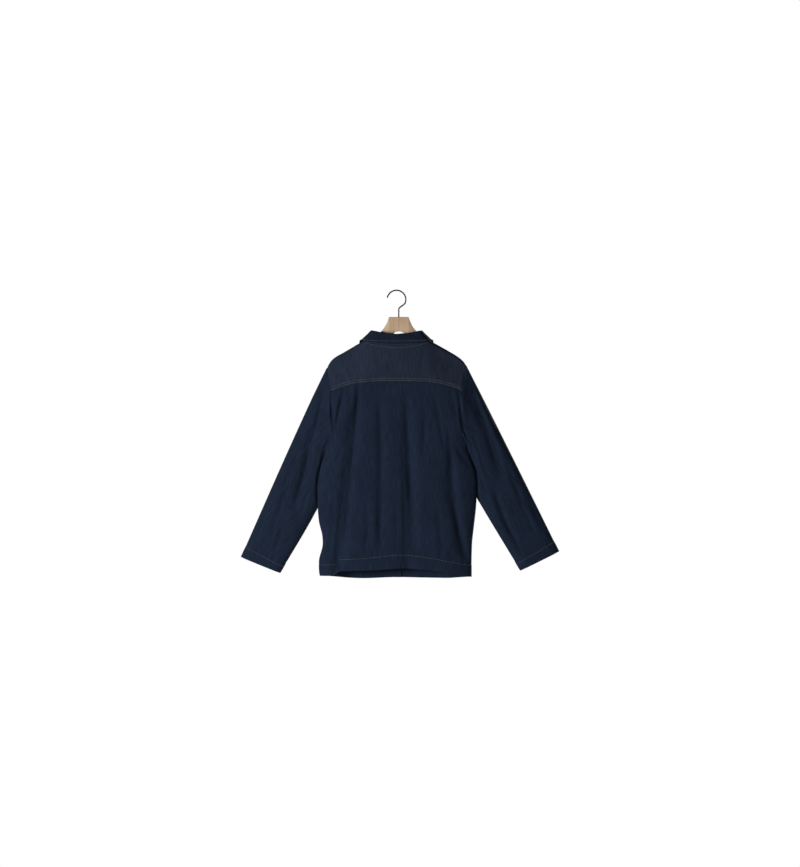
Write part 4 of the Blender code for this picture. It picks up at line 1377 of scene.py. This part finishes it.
@dataclass(frozen=True)
class Sewing:
    """All the topstitching that shows, row by row."""

    body: Body
    sleeve: Sleeve
    cloths: Cloths
    step: float = 0.003
    yoke_rows: tuple[float, ...] = (0.0016, 0.0078)
    hem_row: float = 0.0322
    hem_half: float = 0.216
    hole_half: float = 0.0115
    hole_gap: float = 0.0009
    hem_step: float = 0.0012
    front_row: float = 0.0062
    placket_row: float = 0.0330
    collar_row: float = 0.0060
    collar_most: float = 0.45
    collar_ends: tuple[float, ...] = (0.15, 0.4, 0.7)
    shoulder_rows: tuple[float, ...] = (0.0018, 0.0075)
    neck_row_drop: float = 0.0100
    neck_row_half: float = 0.0900
    neck_row_rise: float = 0.0150

    def steps(self, start: float, end: float) -> np.ndarray:
        """Evenly spaced places between two ends."""
        return np.linspace(start, end, max(2, int(abs(end - start) / self.step)))

    def on_yoke(self) -> Grid:
        """Two rows above the seam of the yoke, and one under the collar.

        Returns:
            The rows.
        """
        body, half = self.body, self.neck_row_half
        rows = []
        for above in self.yoke_rows:
            across = self.steps(body.armhole_at_yoke(1.0, -1) + above, body.armhole_at_yoke(1.0, 1) - above)
            rows.append(self.cloths.row("back_yoke", [(x, body.yoke_seam(x) + above) for x in across], 1))
        level = body.ridge(0.0) - body.neck_back_drop - self.neck_row_drop
        places = [(x, level + self.neck_row_rise * (x / half) ** 2) for x in self.steps(-half, half)]
        return rows + [self.cloths.row("back_yoke", places, 1)]

    def on_hems(self) -> Grid:
        """One row at the top of each hem of the body, broken where the hem makes a step.

        Returns:
            The rows.
        """
        rows = []
        for name, table, face, ends in (
            ("back_panel", self.body.back_hem, 1, (-1, 1)),
            ("front_left", self.body.front_hem, -1, (0, 1)),
            ("front_right", self.body.front_hem, -1, (-1, 0)),
        ):
            row = []
            for x in self.steps(ends[0] * self.hem_half, ends[1] * self.hem_half):
                height = between(table, x)
                stepped = abs(between(table, x + self.step) - height) > self.hem_step
                place = self.cloths.row(name, [(x, height + self.hem_row + hem_arch(x))], face)
                if place and not stepped:
                    row += place
                elif len(row) > 1:
                    rows.append(row)
                    row = []
            rows.append(row)
        return [row for row in rows if len(row) > 1]

    def on_cuffs(self, rings: dict[str, Grid]) -> Grid:
        """One row round each cuff.

        Args:
            rings: The rings of each sleeve.

        Returns:
            The rows.
        """
        share = self.hem_row / HEM_TURN
        rows = []
        for name, grid in rings.items():
            turn, hem = grid[-1 - self.sleeve.hem_rows], grid[-1]
            centre = sum(hem, Vector()) / len(hem)
            near = [low.lerp(high, share) for high, low in zip(turn, hem)]
            rows.append([self.cloths.outer(name, point, centre) for point in near])
        return rows

    def on_fronts(self) -> Grid:
        """Rows beside the lapped edge and along the placket, and on the shoulders.

        Returns:
            The rows.
        """
        body, drop = self.body, self.body.shoulder_seam_drop
        top = body.ridge(0.0) - body.neck_front_drop - self.step
        down = self.steps(top, between(body.front_hem, 0.0) + self.step)
        rows = [self.cloths.row("front_right", [(body.lap - away, z) for z in down], -1)
                for away in (self.front_row, self.placket_row)]
        for side, name in ((1, "front_left"), (-1, "front_right")):
            across = self.steps(body.neck_front(drop, side), body.armhole_at_drop(drop, side))
            for below in self.shoulder_rows:
                rows.append(self.cloths.row(name, [(x, body.ridge(x) - drop - below) for x in across], -1))
        return rows

    def on_buttonholes(self, heights: Sequence[float]) -> Grid:
        """Two tight rows beside each button, on the front that laps over.

        Args:
            heights: Heights of the buttons.

        Returns:
            The rows.
        """
        across = self.steps(-self.hole_half, self.hole_half)
        return [self.cloths.row("front_right", [(x, height + above) for x in across], -1)
                for height in heights for above in (self.hole_gap, -self.hole_gap)]

    def on_collar(self, fall: Grid) -> Grid:
        """One row along the fall's outer edge and ends.

        Args:
            fall: Rows of the fall.

        Returns:
            The row.
        """
        fold, inner = fall[FOLD_ROW], []
        for below, top in zip(fall[-1], fold):
            share = self.collar_row / max((top - below).length, TINY)
            inner.append(below.lerp(top, min(self.collar_most, share)))
        across = (inner[1] - inner[0]).normalized() * self.collar_row
        back = (inner[-2] - inner[-1]).normalized() * self.collar_row
        start = [fold[0].lerp(inner[0], share) + across for share in self.collar_ends]
        end = [fold[-1].lerp(inner[-1], share) + back for share in reversed(self.collar_ends)]
        path = start + [inner[0] + across] + inner[2:-2] + [inner[-1] + back] + end
        return [[self.cloths.outer("collar_fall", point, Vector((0, 0, point.z))) for point in path]]


# Hard pieces


@dataclass(frozen=True)
class Buttons:
    """Five plain dished metal shank buttons, as a turned profile."""

    heights: tuple[float, ...] = (-0.245, -0.355, -0.465, -0.575, -0.685)
    radius: float = 0.0085
    thick: float = 0.0032
    seat: float = 0.0003
    layer: float = 0.0016
    turns: int = 48
    sharp: float = 35
    profile: Table = (
        # share of the radius, share of the thickness
        (0.0, 0.8), (0.16, 0.8), (0.2, 0.66), (0.56, 0.62), (0.64, 0.7), (0.7, 0.94), (0.78, 1.0),
        (0.88, 0.98), (0.95, 0.86), (1.0, 0.58), (0.98, 0.3), (0.9, 0.06), (0.0, 0.06),
    )

    def build(self, index: int, height: float, body: Body) -> bpy.types.Object:
        """Turn one button on the lapping front.

        Args:
            index: Which button, from 1.
            height: Its height.
            body: The body that carries it.

        Returns:
            The button.
        """
        front = body.point(0.0, height, -1).y - self.layer - self.seat
        shape = bmesh.new()
        verts = [shape.verts.new((self.radius * out, front - self.thick * up, height))
                 for out, up in self.profile]
        edges = [shape.edges.new(pair) for pair in zip(verts, verts[1:])]
        bmesh.ops.spin(
            shape, geom=verts + edges, axis=(0, 1, 0), cent=(0, front, height),
            angle=2 * math.pi, steps=self.turns, use_merge=True,
        )
        bmesh.ops.remove_doubles(shape, verts=shape.verts, dist=WELD)
        bmesh.ops.recalc_face_normals(shape, faces=shape.faces)
        return placed(f"button_{index}_metal", shape, self.sharp)


def skin(shape: bmesh.types.BMesh, rings: list[list[bmesh.types.BMVert]]) -> None:
    """Join closed rings of points by faces.

    Args:
        shape: The shape that holds them.
        rings: The rings, all of one length.
    """
    for before, after in zip(rings, rings[1:]):
        for index in range(len(before)):
            following = (index + 1) % len(before)
            shape.faces.new((before[index], before[following], after[following], after[index]))


@dataclass(frozen=True)
class Hanger:
    """The wooden arms with their flared neck, and the bent wire hook."""

    wire: float = 0.0021
    wire_sides: int = 16
    tip_round: float = 0.55
    bend_steps: int = 64
    stem_steps: int = 16
    foot_clear: float = 0.0003
    hook_radius: float = 0.0250
    tip_turn: float = math.radians(78)
    back_turn: float = math.radians(-106)
    stem_top: float = -0.0530
    wood_top: float = -0.0754
    half: float = 0.0058
    edge_round: float = 0.0022
    clear: float = 0.0012
    corner_steps: int = 3
    end_from: float = 0.155
    end_run: float = 0.030
    end_drop: float = 0.0020
    seated_from: float = 0.100
    step: float = 0.0035
    outline: Table = (
        # from the stem, top edge, bottom edge; the arms' top follows the shoulders
        (0.0, -0.0754, -0.117), (0.01, -0.0754, -0.119), (0.018, -0.0754, -0.127),
        (0.0283, -0.0756, -0.137), (0.032, -0.086, -0.1405), (0.037, -0.0975, -0.145),
        (0.043, -0.1075, -0.15), (0.05, -0.116, -0.1555), (0.06, -0.1275, -0.1625), (0.072, -0.1385, -0.17),
        (0.086, -0.147, -0.178), (0.105, -0.155, -0.1875), (0.13, -0.17, -0.1985), (0.155, -0.185, -0.21),
        (0.175, -0.196, -0.22), (0.188, -0.208, -0.226),
    )

    def section(self, body: Body, away: float, side: int) -> Row:
        """Corners of the wood's rounded section.

        Args:
            body: The jacket that the arms carry.
            away: Distance from the stem.
            side: 1 on the wearer's left, -1 on the right.

        Returns:
            Its corners, once round.
        """
        x = STEM + side * away
        top, low = columns(self.outline, away)
        below = CLOTH + self.clear + self.end_drop * ease((abs(x) - self.end_from) / self.end_run)
        if abs(x) >= body.neck_half:
            top = min(top, body.ridge(x) - below)
        if away >= self.seated_from:
            top = body.ridge(x) - below
        deep, high, under = self.half - self.edge_round, top - self.edge_round, low + self.edge_round
        around = []
        for start, (y, z) in enumerate(((deep, high), (deep, under), (-deep, under), (-deep, high))):
            for step in range(self.corner_steps + 1):
                turn = math.pi / 2 * (start + step / self.corner_steps)
                outward = Vector((0, math.sin(turn), math.cos(turn)))
                around.append(Vector((x, y, z)) + outward * self.edge_round)
        return around

    def wood(self, body: Body) -> bpy.types.Object:
        """Loft the wood's sections from one arm's end to the other.

        Args:
            body: The jacket that the arms carry.

        Returns:
            The wood.
        """
        shape = bmesh.new()
        last = self.outline[-1][0]
        count = int(last / self.step)
        even = {last * step / count for step in range(count + 1)}
        stations = sorted(even | {row[0] for row in self.outline})
        places = [(away, -1) for away in reversed(stations)] + [(away, 1) for away in stations[1:]]
        rings = [[shape.verts.new(point) for point in self.section(body, *place)] for place in places]
        skin(shape, rings)
        shape.faces.new(rings[0])
        shape.faces.new(reversed(rings[-1]))
        bmesh.ops.recalc_face_normals(shape, faces=shape.faces)
        return placed("hanger_arms", shape)

    def hook(self) -> bpy.types.Object:
        """Bend the wire from the wood's neck round over the rail, with a rounded end."""
        bend = self.hook_radius + self.wire
        path = [Vector((math.sin(turn) * bend, 0, math.cos(turn) * bend - self.hook_radius))
                for turn in np.linspace(self.tip_turn, self.back_turn, self.bend_steps)]
        last = path[-1].copy()
        for share in np.linspace(0.0, 1.0, self.stem_steps)[1:]:
            path.append(Vector((mix(last.x, STEM, ease(share)), 0, mix(last.z, self.stem_top, share))))
        path.append(Vector((STEM, 0, self.wood_top + self.foot_clear)))
        shape = bmesh.new()
        rings = []
        for index, point in enumerate(path):
            along = (path[min(index + 1, len(path) - 1)] - path[max(index - 1, 0)]).normalized()
            across = DEEP.cross(along)
            rings.append([
                shape.verts.new(point + (across * math.cos(turn) + DEEP * math.sin(turn)) * self.wire)
                for turn in np.linspace(0, 2 * math.pi, self.wire_sides + 1)[:-1]
            ])
        skin(shape, rings)
        back = (path[0] - path[1]).normalized()
        tip = shape.verts.new(path[0] + back * self.wire * self.tip_round)
        foot = shape.verts.new(path[-1])
        for index in range(self.wire_sides):
            following = (index + 1) % self.wire_sides
            shape.faces.new((rings[0][following], rings[0][index], tip))
            shape.faces.new((rings[-1][index], rings[-1][following], foot))
        bmesh.ops.recalc_face_normals(shape, faces=shape.faces)
        return placed("hook_wire", shape)


def placed(name: str, shape: bmesh.types.BMesh, sharp: float = 50) -> bpy.types.Object:
    """Turn a shape into a named object, smooth below an angle in degrees.

    Args:
        name: Its name.
        shape: The shape, freed here.
        sharp: The angle.

    Returns:
        The object.
    """
    made = formed(name, shape)
    made.data.shade_smooth()
    made.data.set_sharp_from_angle(angle=math.radians(sharp))
    return made


# Finishes


def linear(colour: str) -> tuple[float, float, float, float]:
    """Turn an sRGB hex colour into linear values with full opacity."""
    parts = [int(colour[start:start + 2], 16) / 255 for start in (1, 3, 5)]
    red, green, blue = (
        part / 12.92 if part <= 0.04045 else ((part + 0.055) / 1.055) ** 2.4 for part in parts
    )
    return red, green, blue, 1.0


class Nodes:
    """A new material, with one short call for each kind of node used here."""

    def __init__(self, name: str) -> None:
        """Make the material with its shader."""
        self.made = bpy.data.materials.new(name)
        self.made.use_nodes = True

    def node(self, kind: str, inputs: dict, socket: int | str = 0, **settings: object) -> Socket:
        """Add a node to the material and give one of its outputs."""
        return output(self.made.node_tree, kind, inputs, socket, **settings)

    def place(self) -> Socket:
        """Object coordinates."""
        return self.node("ShaderNodeTexCoord", {}, "Object")

    def axis(self, place: Socket, name: str) -> Socket:
        """One axis of a place."""
        return self.node("ShaderNodeSeparateXYZ", {0: place}, name)

    def stretched(self, place: Socket, lengths: Sequence[float]) -> Socket:
        """Coordinates counted in a length of their own along each axis."""
        return self.node("ShaderNodeMapping", {"Vector": place, "Scale": [1 / length for length in lengths]})

    def noise(self, place: Socket, size: float, detail: float) -> Socket:
        """Noise whose grains have a size."""
        inputs = {"Vector": place, "Scale": 1 / size, "Detail": detail}
        return self.node("ShaderNodeTexNoise", inputs, "Fac")

    def reckon(self, operation: str, *values: Socket | float) -> Socket:
        """Arithmetic on one to three values."""
        return self.node("ShaderNodeMath", dict(enumerate(values)), operation=operation)

    def ramp(self, value: Socket, reads: Pair, gives: Pair = (0.0, 1.0), way: str = "LINEAR") -> Socket:
        """A value carried over from one range to another."""
        ends = dict(zip(("From Min", "From Max", "To Min", "To Max"), reads + gives))
        return self.node("ShaderNodeMapRange", {"Value": value, **ends}, interpolation_type=way)

    def blend(self, share: Socket, low: Socket | str, high: Socket | str) -> Socket:
        """A colour between two, each a hex value or a socket."""
        low, high = (linear(end) if isinstance(end, str) else end for end in (low, high))
        return self.node("ShaderNodeMix", {"Factor": share, "A": low, "B": high}, "Result", data_type="RGBA")

    def bump(self, height: Socket, distance: float, strength: float) -> Socket:
        """Relief that only the light sees."""
        return self.node("ShaderNodeBump", {"Height": height, "Distance": distance, "Strength": strength})

    def shade(self, inputs: dict) -> bpy.types.Material:
        """Set or link the shader's own sockets, and give the material."""
        wire(self.made.node_tree, self.made.node_tree.nodes["Principled BSDF"], inputs)
        return self.made


@dataclass(frozen=True)
class Denim:
    """Raw indigo cotton twill, woven and sanforised: matt, dark, streaked along the warp."""

    name: str
    dark: str
    light: str
    # colour of the paler seam line: painted highlight on puckered seams, with a little edge wear
    seam_highlight_and_wear_colour: str
    roughness: float = 0.93
    twill_pitch: float = 0.0024  # 1 mm on real 13 oz denim, coarser here so that it shows
    twill_depth: float = 0.00016
    twill_strength: float = 0.8
    rib_height: float = 0.5
    slub: Table = ((0.0020, 0.034, 1.0), (0.030, 0.0022, 1.0))  # warp, weft: width, length, unused axis
    slub_range: Pair = (0.25, 0.80)
    cloud: float = 0.085
    shares: tuple[float, ...] = (0.55, 0.35, 0.10)  # of clouds, weft slubs and ribs in the tone
    tone_range: Pair = (0.15, 1.35)
    # reach, share and breaking of the paler seam line: painted highlight, with a little edge wear
    seam_highlight_and_wear_reach: float = 0.0032
    seam_highlight_and_wear_share: float = 0.22
    pale_seam_break_size: float = 0.015
    pale_seam_break_range: Pair = (0.42, 0.68)
    sheen: float = 0.05
    sheen_roughness: float = 0.6
    sheen_tint: str = "#5b6786"
    specular: float = 0.16

    def build(self) -> bpy.types.Material:
        """Make the material.

        Returns:
            The material; it reads the cloth's own coordinates and its distances from edges.
        """
        nodes = Nodes(self.name)
        flat = nodes.node("ShaderNodeUVMap", {}, uv_map="cloth")
        # warp slubs: the eye reads them as faint long streaks down the cloth
        warp = nodes.noise(nodes.stretched(flat, self.slub[0]), 1.0, 3.0)
        weft = nodes.noise(nodes.stretched(flat, self.slub[1]), 1.0, 2.0)
        # indigo never takes evenly: broad soft clouds
        clouds = nodes.noise(flat, self.cloud, 2.0)
        # right-hand twill: diagonal ribs
        slanted = nodes.reckon("ADD", nodes.axis(flat, "X"), nodes.axis(flat, "Y"))
        twill = nodes.reckon("SINE", nodes.reckon("MULTIPLY", slanted, 2 * math.pi / self.twill_pitch))
        tone = nodes.ramp(warp, self.slub_range, way="SMOOTHSTEP")
        for part, share in zip((clouds, weft, twill), self.shares):
            tone = nodes.reckon("MULTIPLY_ADD", part, share, tone)
        dyed = nodes.blend(nodes.ramp(tone, self.tone_range), self.dark, self.light)
        height = nodes.reckon("MULTIPLY_ADD", twill, self.rib_height, warp)
        # base colour paler along seams and hems: painted highlight, with a little edge wear
        return nodes.shade({
            "Base Color": nodes.blend(self.paint_seam_highlight_and_wear(nodes, flat), dyed, self.seam_highlight_and_wear_colour),
            "Normal": nodes.bump(height, self.twill_depth, self.twill_strength),
            "Roughness": self.roughness, "Sheen Weight": self.sheen,
            "Sheen Roughness": self.sheen_roughness, "Sheen Tint": linear(self.sheen_tint),
            "Specular IOR Level": self.specular,
        })

    def paint_seam_highlight_and_wear(self, nodes: Nodes, flat: Socket) -> Socket:
        """A thin uneven paler line along seams and hems: a painted highlight where puckered seams and hems
        catch the light, with a little edge wear.

        Args:
            nodes: The material's nodes.
            flat: The cloth's coordinates.

        Returns:
            The socket that carries the share of painted highlight and wear.
        """
        near = []
        for name in ("from_hem", "from_seam"):
            away = nodes.node("ShaderNodeAttribute", {}, "Fac", attribute_name=name)
            near.append(nodes.ramp(away, (0.0, self.seam_highlight_and_wear_reach), (self.seam_highlight_and_wear_share, 0.0), "SMOOTHSTEP"))
        broken = nodes.ramp(nodes.noise(flat, self.pale_seam_break_size, 3.0), self.pale_seam_break_range)
        return nodes.reckon("MULTIPLY", nodes.reckon("MAXIMUM", *near), broken)


@dataclass(frozen=True)
class Topstitch:
    """Core-spun polyester thread, undyed beige gone grey: small dull beads along the seams."""

    colour: str = "#736f66"
    dark: str = "#4a4a49"
    strand: float = 0.0009
    twist: tuple[float, ...] = (0.0001, 0.6)
    roughness: float = 0.6

    def build(self) -> bpy.types.Material:
        """Make the material."""
        nodes = Nodes("polyester_topstitch")
        ply = nodes.noise(nodes.place(), self.strand, 2.0)
        return nodes.shade({
            "Base Color": nodes.blend(ply, self.dark, self.colour), "Normal": nodes.bump(ply, *self.twist),
            "Roughness": self.roughness,
        })


@dataclass(frozen=True)
class Beech:
    """Sanded and clear-lacquered beech in two halves: pale tan, finely flecked along the arms; the right
    half's darker tones are painted shade for an arm that turns away from the light.
    """

    # right half: darker tones, painted shade for an arm that turns away from the light
    right: tuple[str, str] = ("#ab8b6e", "#c0a589")
    left: tuple[str, str] = ("#af906d", "#c2aa8c")
    joint: str = "#6e5238"
    joint_edges: Pair = (0.0002, 0.0007)
    joint_share: float = 0.7
    grain: tuple[float, ...] = (0.0016, 0.0016, 0.045)
    fleck: tuple[float, ...] = (0.0011, 0.0011, 0.0055)
    fleck_range: Pair = (0.60, 0.75)
    fleck_share: float = 0.35
    sanding: tuple[float, ...] = (0.00008, 0.5)
    roughness: float = 0.42
    coat: Pair = (0.25, 0.3)

    def build(self) -> bpy.types.Material:
        """Make the material.

        Returns:
            The material; it reads Object coordinates, with the grain across the arms' length.
        """
        nodes = Nodes("lacquered_beech")
        place = nodes.place()
        grain = nodes.noise(nodes.stretched(place, self.grain), 1.0, 4.0)
        flecks = nodes.noise(nodes.stretched(place, self.fleck), 1.0, 1.0)
        from_stem = nodes.reckon("ADD", nodes.axis(place, "X"), -STEM)
        # the right half takes the darker tones: painted shade
        halves = [nodes.blend(grain, *tones) for tones in (self.right, self.left)]
        wood = nodes.blend(nodes.reckon("GREATER_THAN", from_stem, 0.0), *halves)
        dotted = nodes.ramp(flecks, self.fleck_range, (0.0, self.fleck_share))
        line = nodes.ramp(nodes.reckon("ABSOLUTE", from_stem), self.joint_edges, (self.joint_share, 0.0))
        return nodes.shade({
            "Base Color": nodes.blend(line, nodes.blend(dotted, wood, self.joint), self.joint),
            "Normal": nodes.bump(grain, *self.sanding),
            "Roughness": self.roughness, "Coat Weight": self.coat[0], "Coat Roughness": self.coat[1],
        })


@dataclass(frozen=True)
class Metal:
    """A drawn or stamped metal, dulled by handling: soft broken gloss with darker hollows."""

    name: str
    bright: str
    dull: str
    smooth: float
    rough: float
    grit: float
    gloss_range: Pair = (0.3, 0.7)
    marks: tuple[float, ...] = (0.00003, 0.5)

    def build(self) -> bpy.types.Material:
        """Make the material."""
        nodes = Nodes(self.name)
        patches = nodes.noise(nodes.place(), self.grit, 4.0)
        return nodes.shade({
            "Base Color": nodes.blend(patches, self.dull, self.bright),
            "Roughness": nodes.ramp(patches, self.gloss_range, (self.rough, self.smooth)),
            "Normal": nodes.bump(patches, *self.marks), "Metallic": 1.0,
        })


# The finished object and its surroundings


@dataclass
class Jacket:
    """The sewn jacket: panels, stitches and buttons."""

    body: Body
    sleeve: Sleeve
    collar: Collar
    tailor: Tailor = field(default_factory=Tailor)
    cloths: Cloths = field(default_factory=Cloths)
    rings: dict[str, Grid] = field(default_factory=dict)
    fall: Grid = field(default_factory=list)
    hole_pitch: float = 0.0011

    def panels(self) -> list[Panel]:
        """Lay out every piece of cloth.

        Returns:
            The pieces in the order of making.
        """
        body = self.body
        yokes = {side: body.yoke_half(side) for side in SIDES}
        overs = {side: body.yoke_over(side) for side in SIDES}
        backs = {side: body.back_half(side) for side in SIDES}
        fronts = {side: body.front_half(side) for side in SIDES}
        stand, self.fall = self.collar.rows()
        yoke = [body.mirrored(yokes.get)[::-1], overs[1][::-1], overs[-1]]
        on_yoke, on_stand = ("back_yoke",), ("collar_stand",)
        made = [
            Panel("back_yoke", yoke, (0.45, 0.20), Cloth.YOKE.value, area=0.068),
            Panel("back_panel", [body.mirrored(backs.get)], (0.48, 0.60), area=0.262, hemmed=True,
                  rests_on=on_yoke),
            Panel("collar_stand", [stand], (0.44, 0.030), smoothing=2, limp=0.0, rests_on=on_yoke),
            Panel("collar_fall", [self.fall], (0.48, 0.075), smoothing=2, limp=0.0, rests_on=on_stand),
        ]
        for side, hand in ((1, "left"), (-1, "right")):
            front = fronts[side] if side < 0 else [row[::-1] for row in fronts[side]]
            made.append(Panel(f"front_{hand}", [front], (0.27, 0.68), area=0.148, hemmed=True,
                              rests_on=on_yoke))
            loop, top = body.armhole_loop(side, backs[side], overs[side], yokes[side], fronts[side])
            name = f"sleeve_{hand}"
            self.rings[name] = self.sleeve.rings(side, loop, top)
            made.append(Panel(
                name, [self.rings[name]], (0.34, 0.62), area=0.155, hemmed=True, rests_on=on_yoke,
                middles=self.sleeve.middles(side), grain=self.sleeve.grain(side),
            ))
        return made

    def build(self, finishes: dict[str, bpy.types.Material], thread: bpy.types.Material) -> None:
        """Args:
            finishes: The material of each slot.
            thread: The material of the stitches.
        """
        behind, before = creases(BEHIND), creases(BEFORE)
        for panel in self.panels():
            made = self.tailor.finish(panel, behind, before)
            dress(made, finishes[panel.slot], panel.name)
            self.cloths.add(panel.name, made)
        self.sew(thread)
        buttons = Buttons()
        for index, height in enumerate(buttons.heights, start=1):
            made = buttons.build(index, height, self.body)
            dress(made, finishes["button_metal"], f"button_{index}")

    def sew(self, thread: bpy.types.Material) -> None:
        """Sew every row of topstitching.

        Args:
            thread: The material of the stitches.
        """
        sewing, row = Sewing(self.body, self.sleeve, self.cloths), Thread()
        tree = row.tree()
        groups = {
            "yoke_stitches": sewing.on_yoke(),
            "hem_stitches": sewing.on_hems(),
            "cuff_stitches": sewing.on_cuffs(self.rings),
            "front_stitches": sewing.on_fronts(),
            "collar_stitches": sewing.on_collar(self.fall),
            "buttonhole_stitches": sewing.on_buttonholes(Buttons().heights),
        }
        for name, paths in groups.items():
            pitch = self.hole_pitch if name == "buttonhole_stitches" else None
            made = joined(name, [row.sew(tree, path, thread, pitch) for path in paths])
            dress(made, thread)
        bpy.data.node_groups.remove(tree)


def joined(name: str, pieces: list[bpy.types.Object]) -> bpy.types.Object:
    """Join plain meshes into one object.

    Args:
        name: Its name.
        pieces: The pieces, removed here.

    Returns:
        The object.
    """
    shape = bmesh.new()
    for piece in pieces:
        shape.from_mesh(piece.data)
        bpy.data.objects.remove(piece)
    made = formed(name, shape)
    made.data.shade_smooth()
    return made


def dress(made: bpy.types.Object, finish: bpy.types.Material, node: str | None = None) -> None:
    """Give a piece its finish and place in the frame.

    Args:
        made: The piece.
        finish: Its material.
        node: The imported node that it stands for, if any.
    """
    made.data.materials.clear()
    made.data.materials.append(finish)
    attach(made, BODY_NAME)
    if node:
        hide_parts(node)
    LOG.info("%s: %d faces", made.name, len(made.data.polygons))


@dataclass(frozen=True)
class Studio:
    """Pale floor, even soft light and the photograph's camera."""

    distance: float = 5.0
    sensor: float = 36.0
    floor_height: float = -2.05
    floor_radius: float = 1.25
    floor_sides: int = 96
    backdrop: str = "#ffffff"
    around: str = "#515255"
    paper: str = "#e9e8e6"
    paper_roughness: float = 0.9
    lights: ClassVar[tuple] = (
        # name, place on the +X side, size, power; each has a twin that is turned half round the jacket
        ("key", (2.7, 2.7, -0.25), 0.8, 148.0),
        ("fill", (0.1, 3.6, -1.45), 1.2, 26.0),
    )
    lit_height: float = -0.45

    def build(self) -> None:
        """Make the stage, lights and camera."""
        bpy.context.scene.view_settings.view_transform = "Standard"
        world = bpy.data.worlds.new("studio")
        world.use_nodes = True
        tree = world.node_tree
        seen = output(tree, "ShaderNodeLightPath", {}, "Is Camera Ray")
        tone = output(tree, "ShaderNodeMix",
                      {"Factor": seen, "A": linear(self.around), "B": linear(self.backdrop)}, "Result",
                      data_type="RGBA")
        wire(tree, tree.nodes["Background"], {"Color": tone, "Strength": 1.0})
        bpy.context.scene.world = world
        floor = bmesh.new()
        bmesh.ops.create_circle(floor, cap_ends=True, segments=self.floor_sides, radius=self.floor_radius)
        bmesh.ops.translate(floor, verts=floor.verts, vec=(0, 0, self.floor_height))
        ground = placed("floor", floor)
        paper = {"Base Color": linear(self.paper), "Roughness": self.paper_roughness}
        ground.data.materials.append(Nodes("matt_paper").shade(paper))
        for side in SIDES:
            for name, (across, back, up), size, power in self.lights:
                self.light(f"{name}_{side}", (side * across, side * back, up), size, power)
        centre_x, centre_z = at_pixel(PHOTO_WIDTH / 2, PHOTO_HEIGHT / 2)
        data = bpy.data.cameras.new("camera")
        data.sensor_width = self.sensor
        data.lens = self.sensor * self.distance / (PHOTO_HEIGHT * METRES_PER_PIXEL)
        camera = linked("camera", data)
        camera.location = (centre_x, self.distance, centre_z)
        camera.rotation_euler = (math.pi / 2, 0, math.pi)
        bpy.context.scene.camera = camera

    def light(self, name: str, place: tuple[float, float, float], size: float, power: float) -> None:
        """Add a square soft box that faces the jacket.

        Args:
            name: Its name.
            place: Where it stands.
            size: Length of its side.
            power: Its power in watts.
        """
        data = bpy.data.lights.new(name, "AREA")
        data.size = size
        data.energy = power
        lamp = linked(name, data)
        lamp.location = place
        way = Vector((0, 0, self.lit_height)) - Vector(place)
        lamp.rotation_euler = way.to_track_quat("-Z", "Y").to_euler()


def main() -> None:
    """Build the jacket, its hanger and the studio."""
    body = Body()
    finishes = {
        # each denim's last colour is its paler seam line: painted highlight, with a little edge wear
        "denim": Denim("raw_indigo_twill", "#08101c", "#172336", "#364154").build(),
        "yoke_denim": Denim("raw_indigo_twill_yoke", "#101725", "#232b3b", "#424957").build(),
        "button_metal": Metal("aged_brass", "#a98a5f", "#5d4a34", 0.28, 0.5, 0.0022).build(),
        "beech": Beech().build(),
        "steel_wire": Metal("dulled_steel_wire", "#4c4548", "#2a2628", 0.34, 0.52, 0.0016).build(),
    }
    jacket = Jacket(body, Sleeve(body), Collar(body))
    jacket.build(finishes, Topstitch().build())
    hanger = Hanger()
    dress(hanger.wood(body), finishes["beech"], "hanger_wood")
    dress(hanger.hook(), finishes["steel_wire"], "hanger_hook")
    Studio().build()


if __name__ == "__main__":
    logging.basicConfig(level=logging.INFO, format="%(name)s %(message)s")
    main()
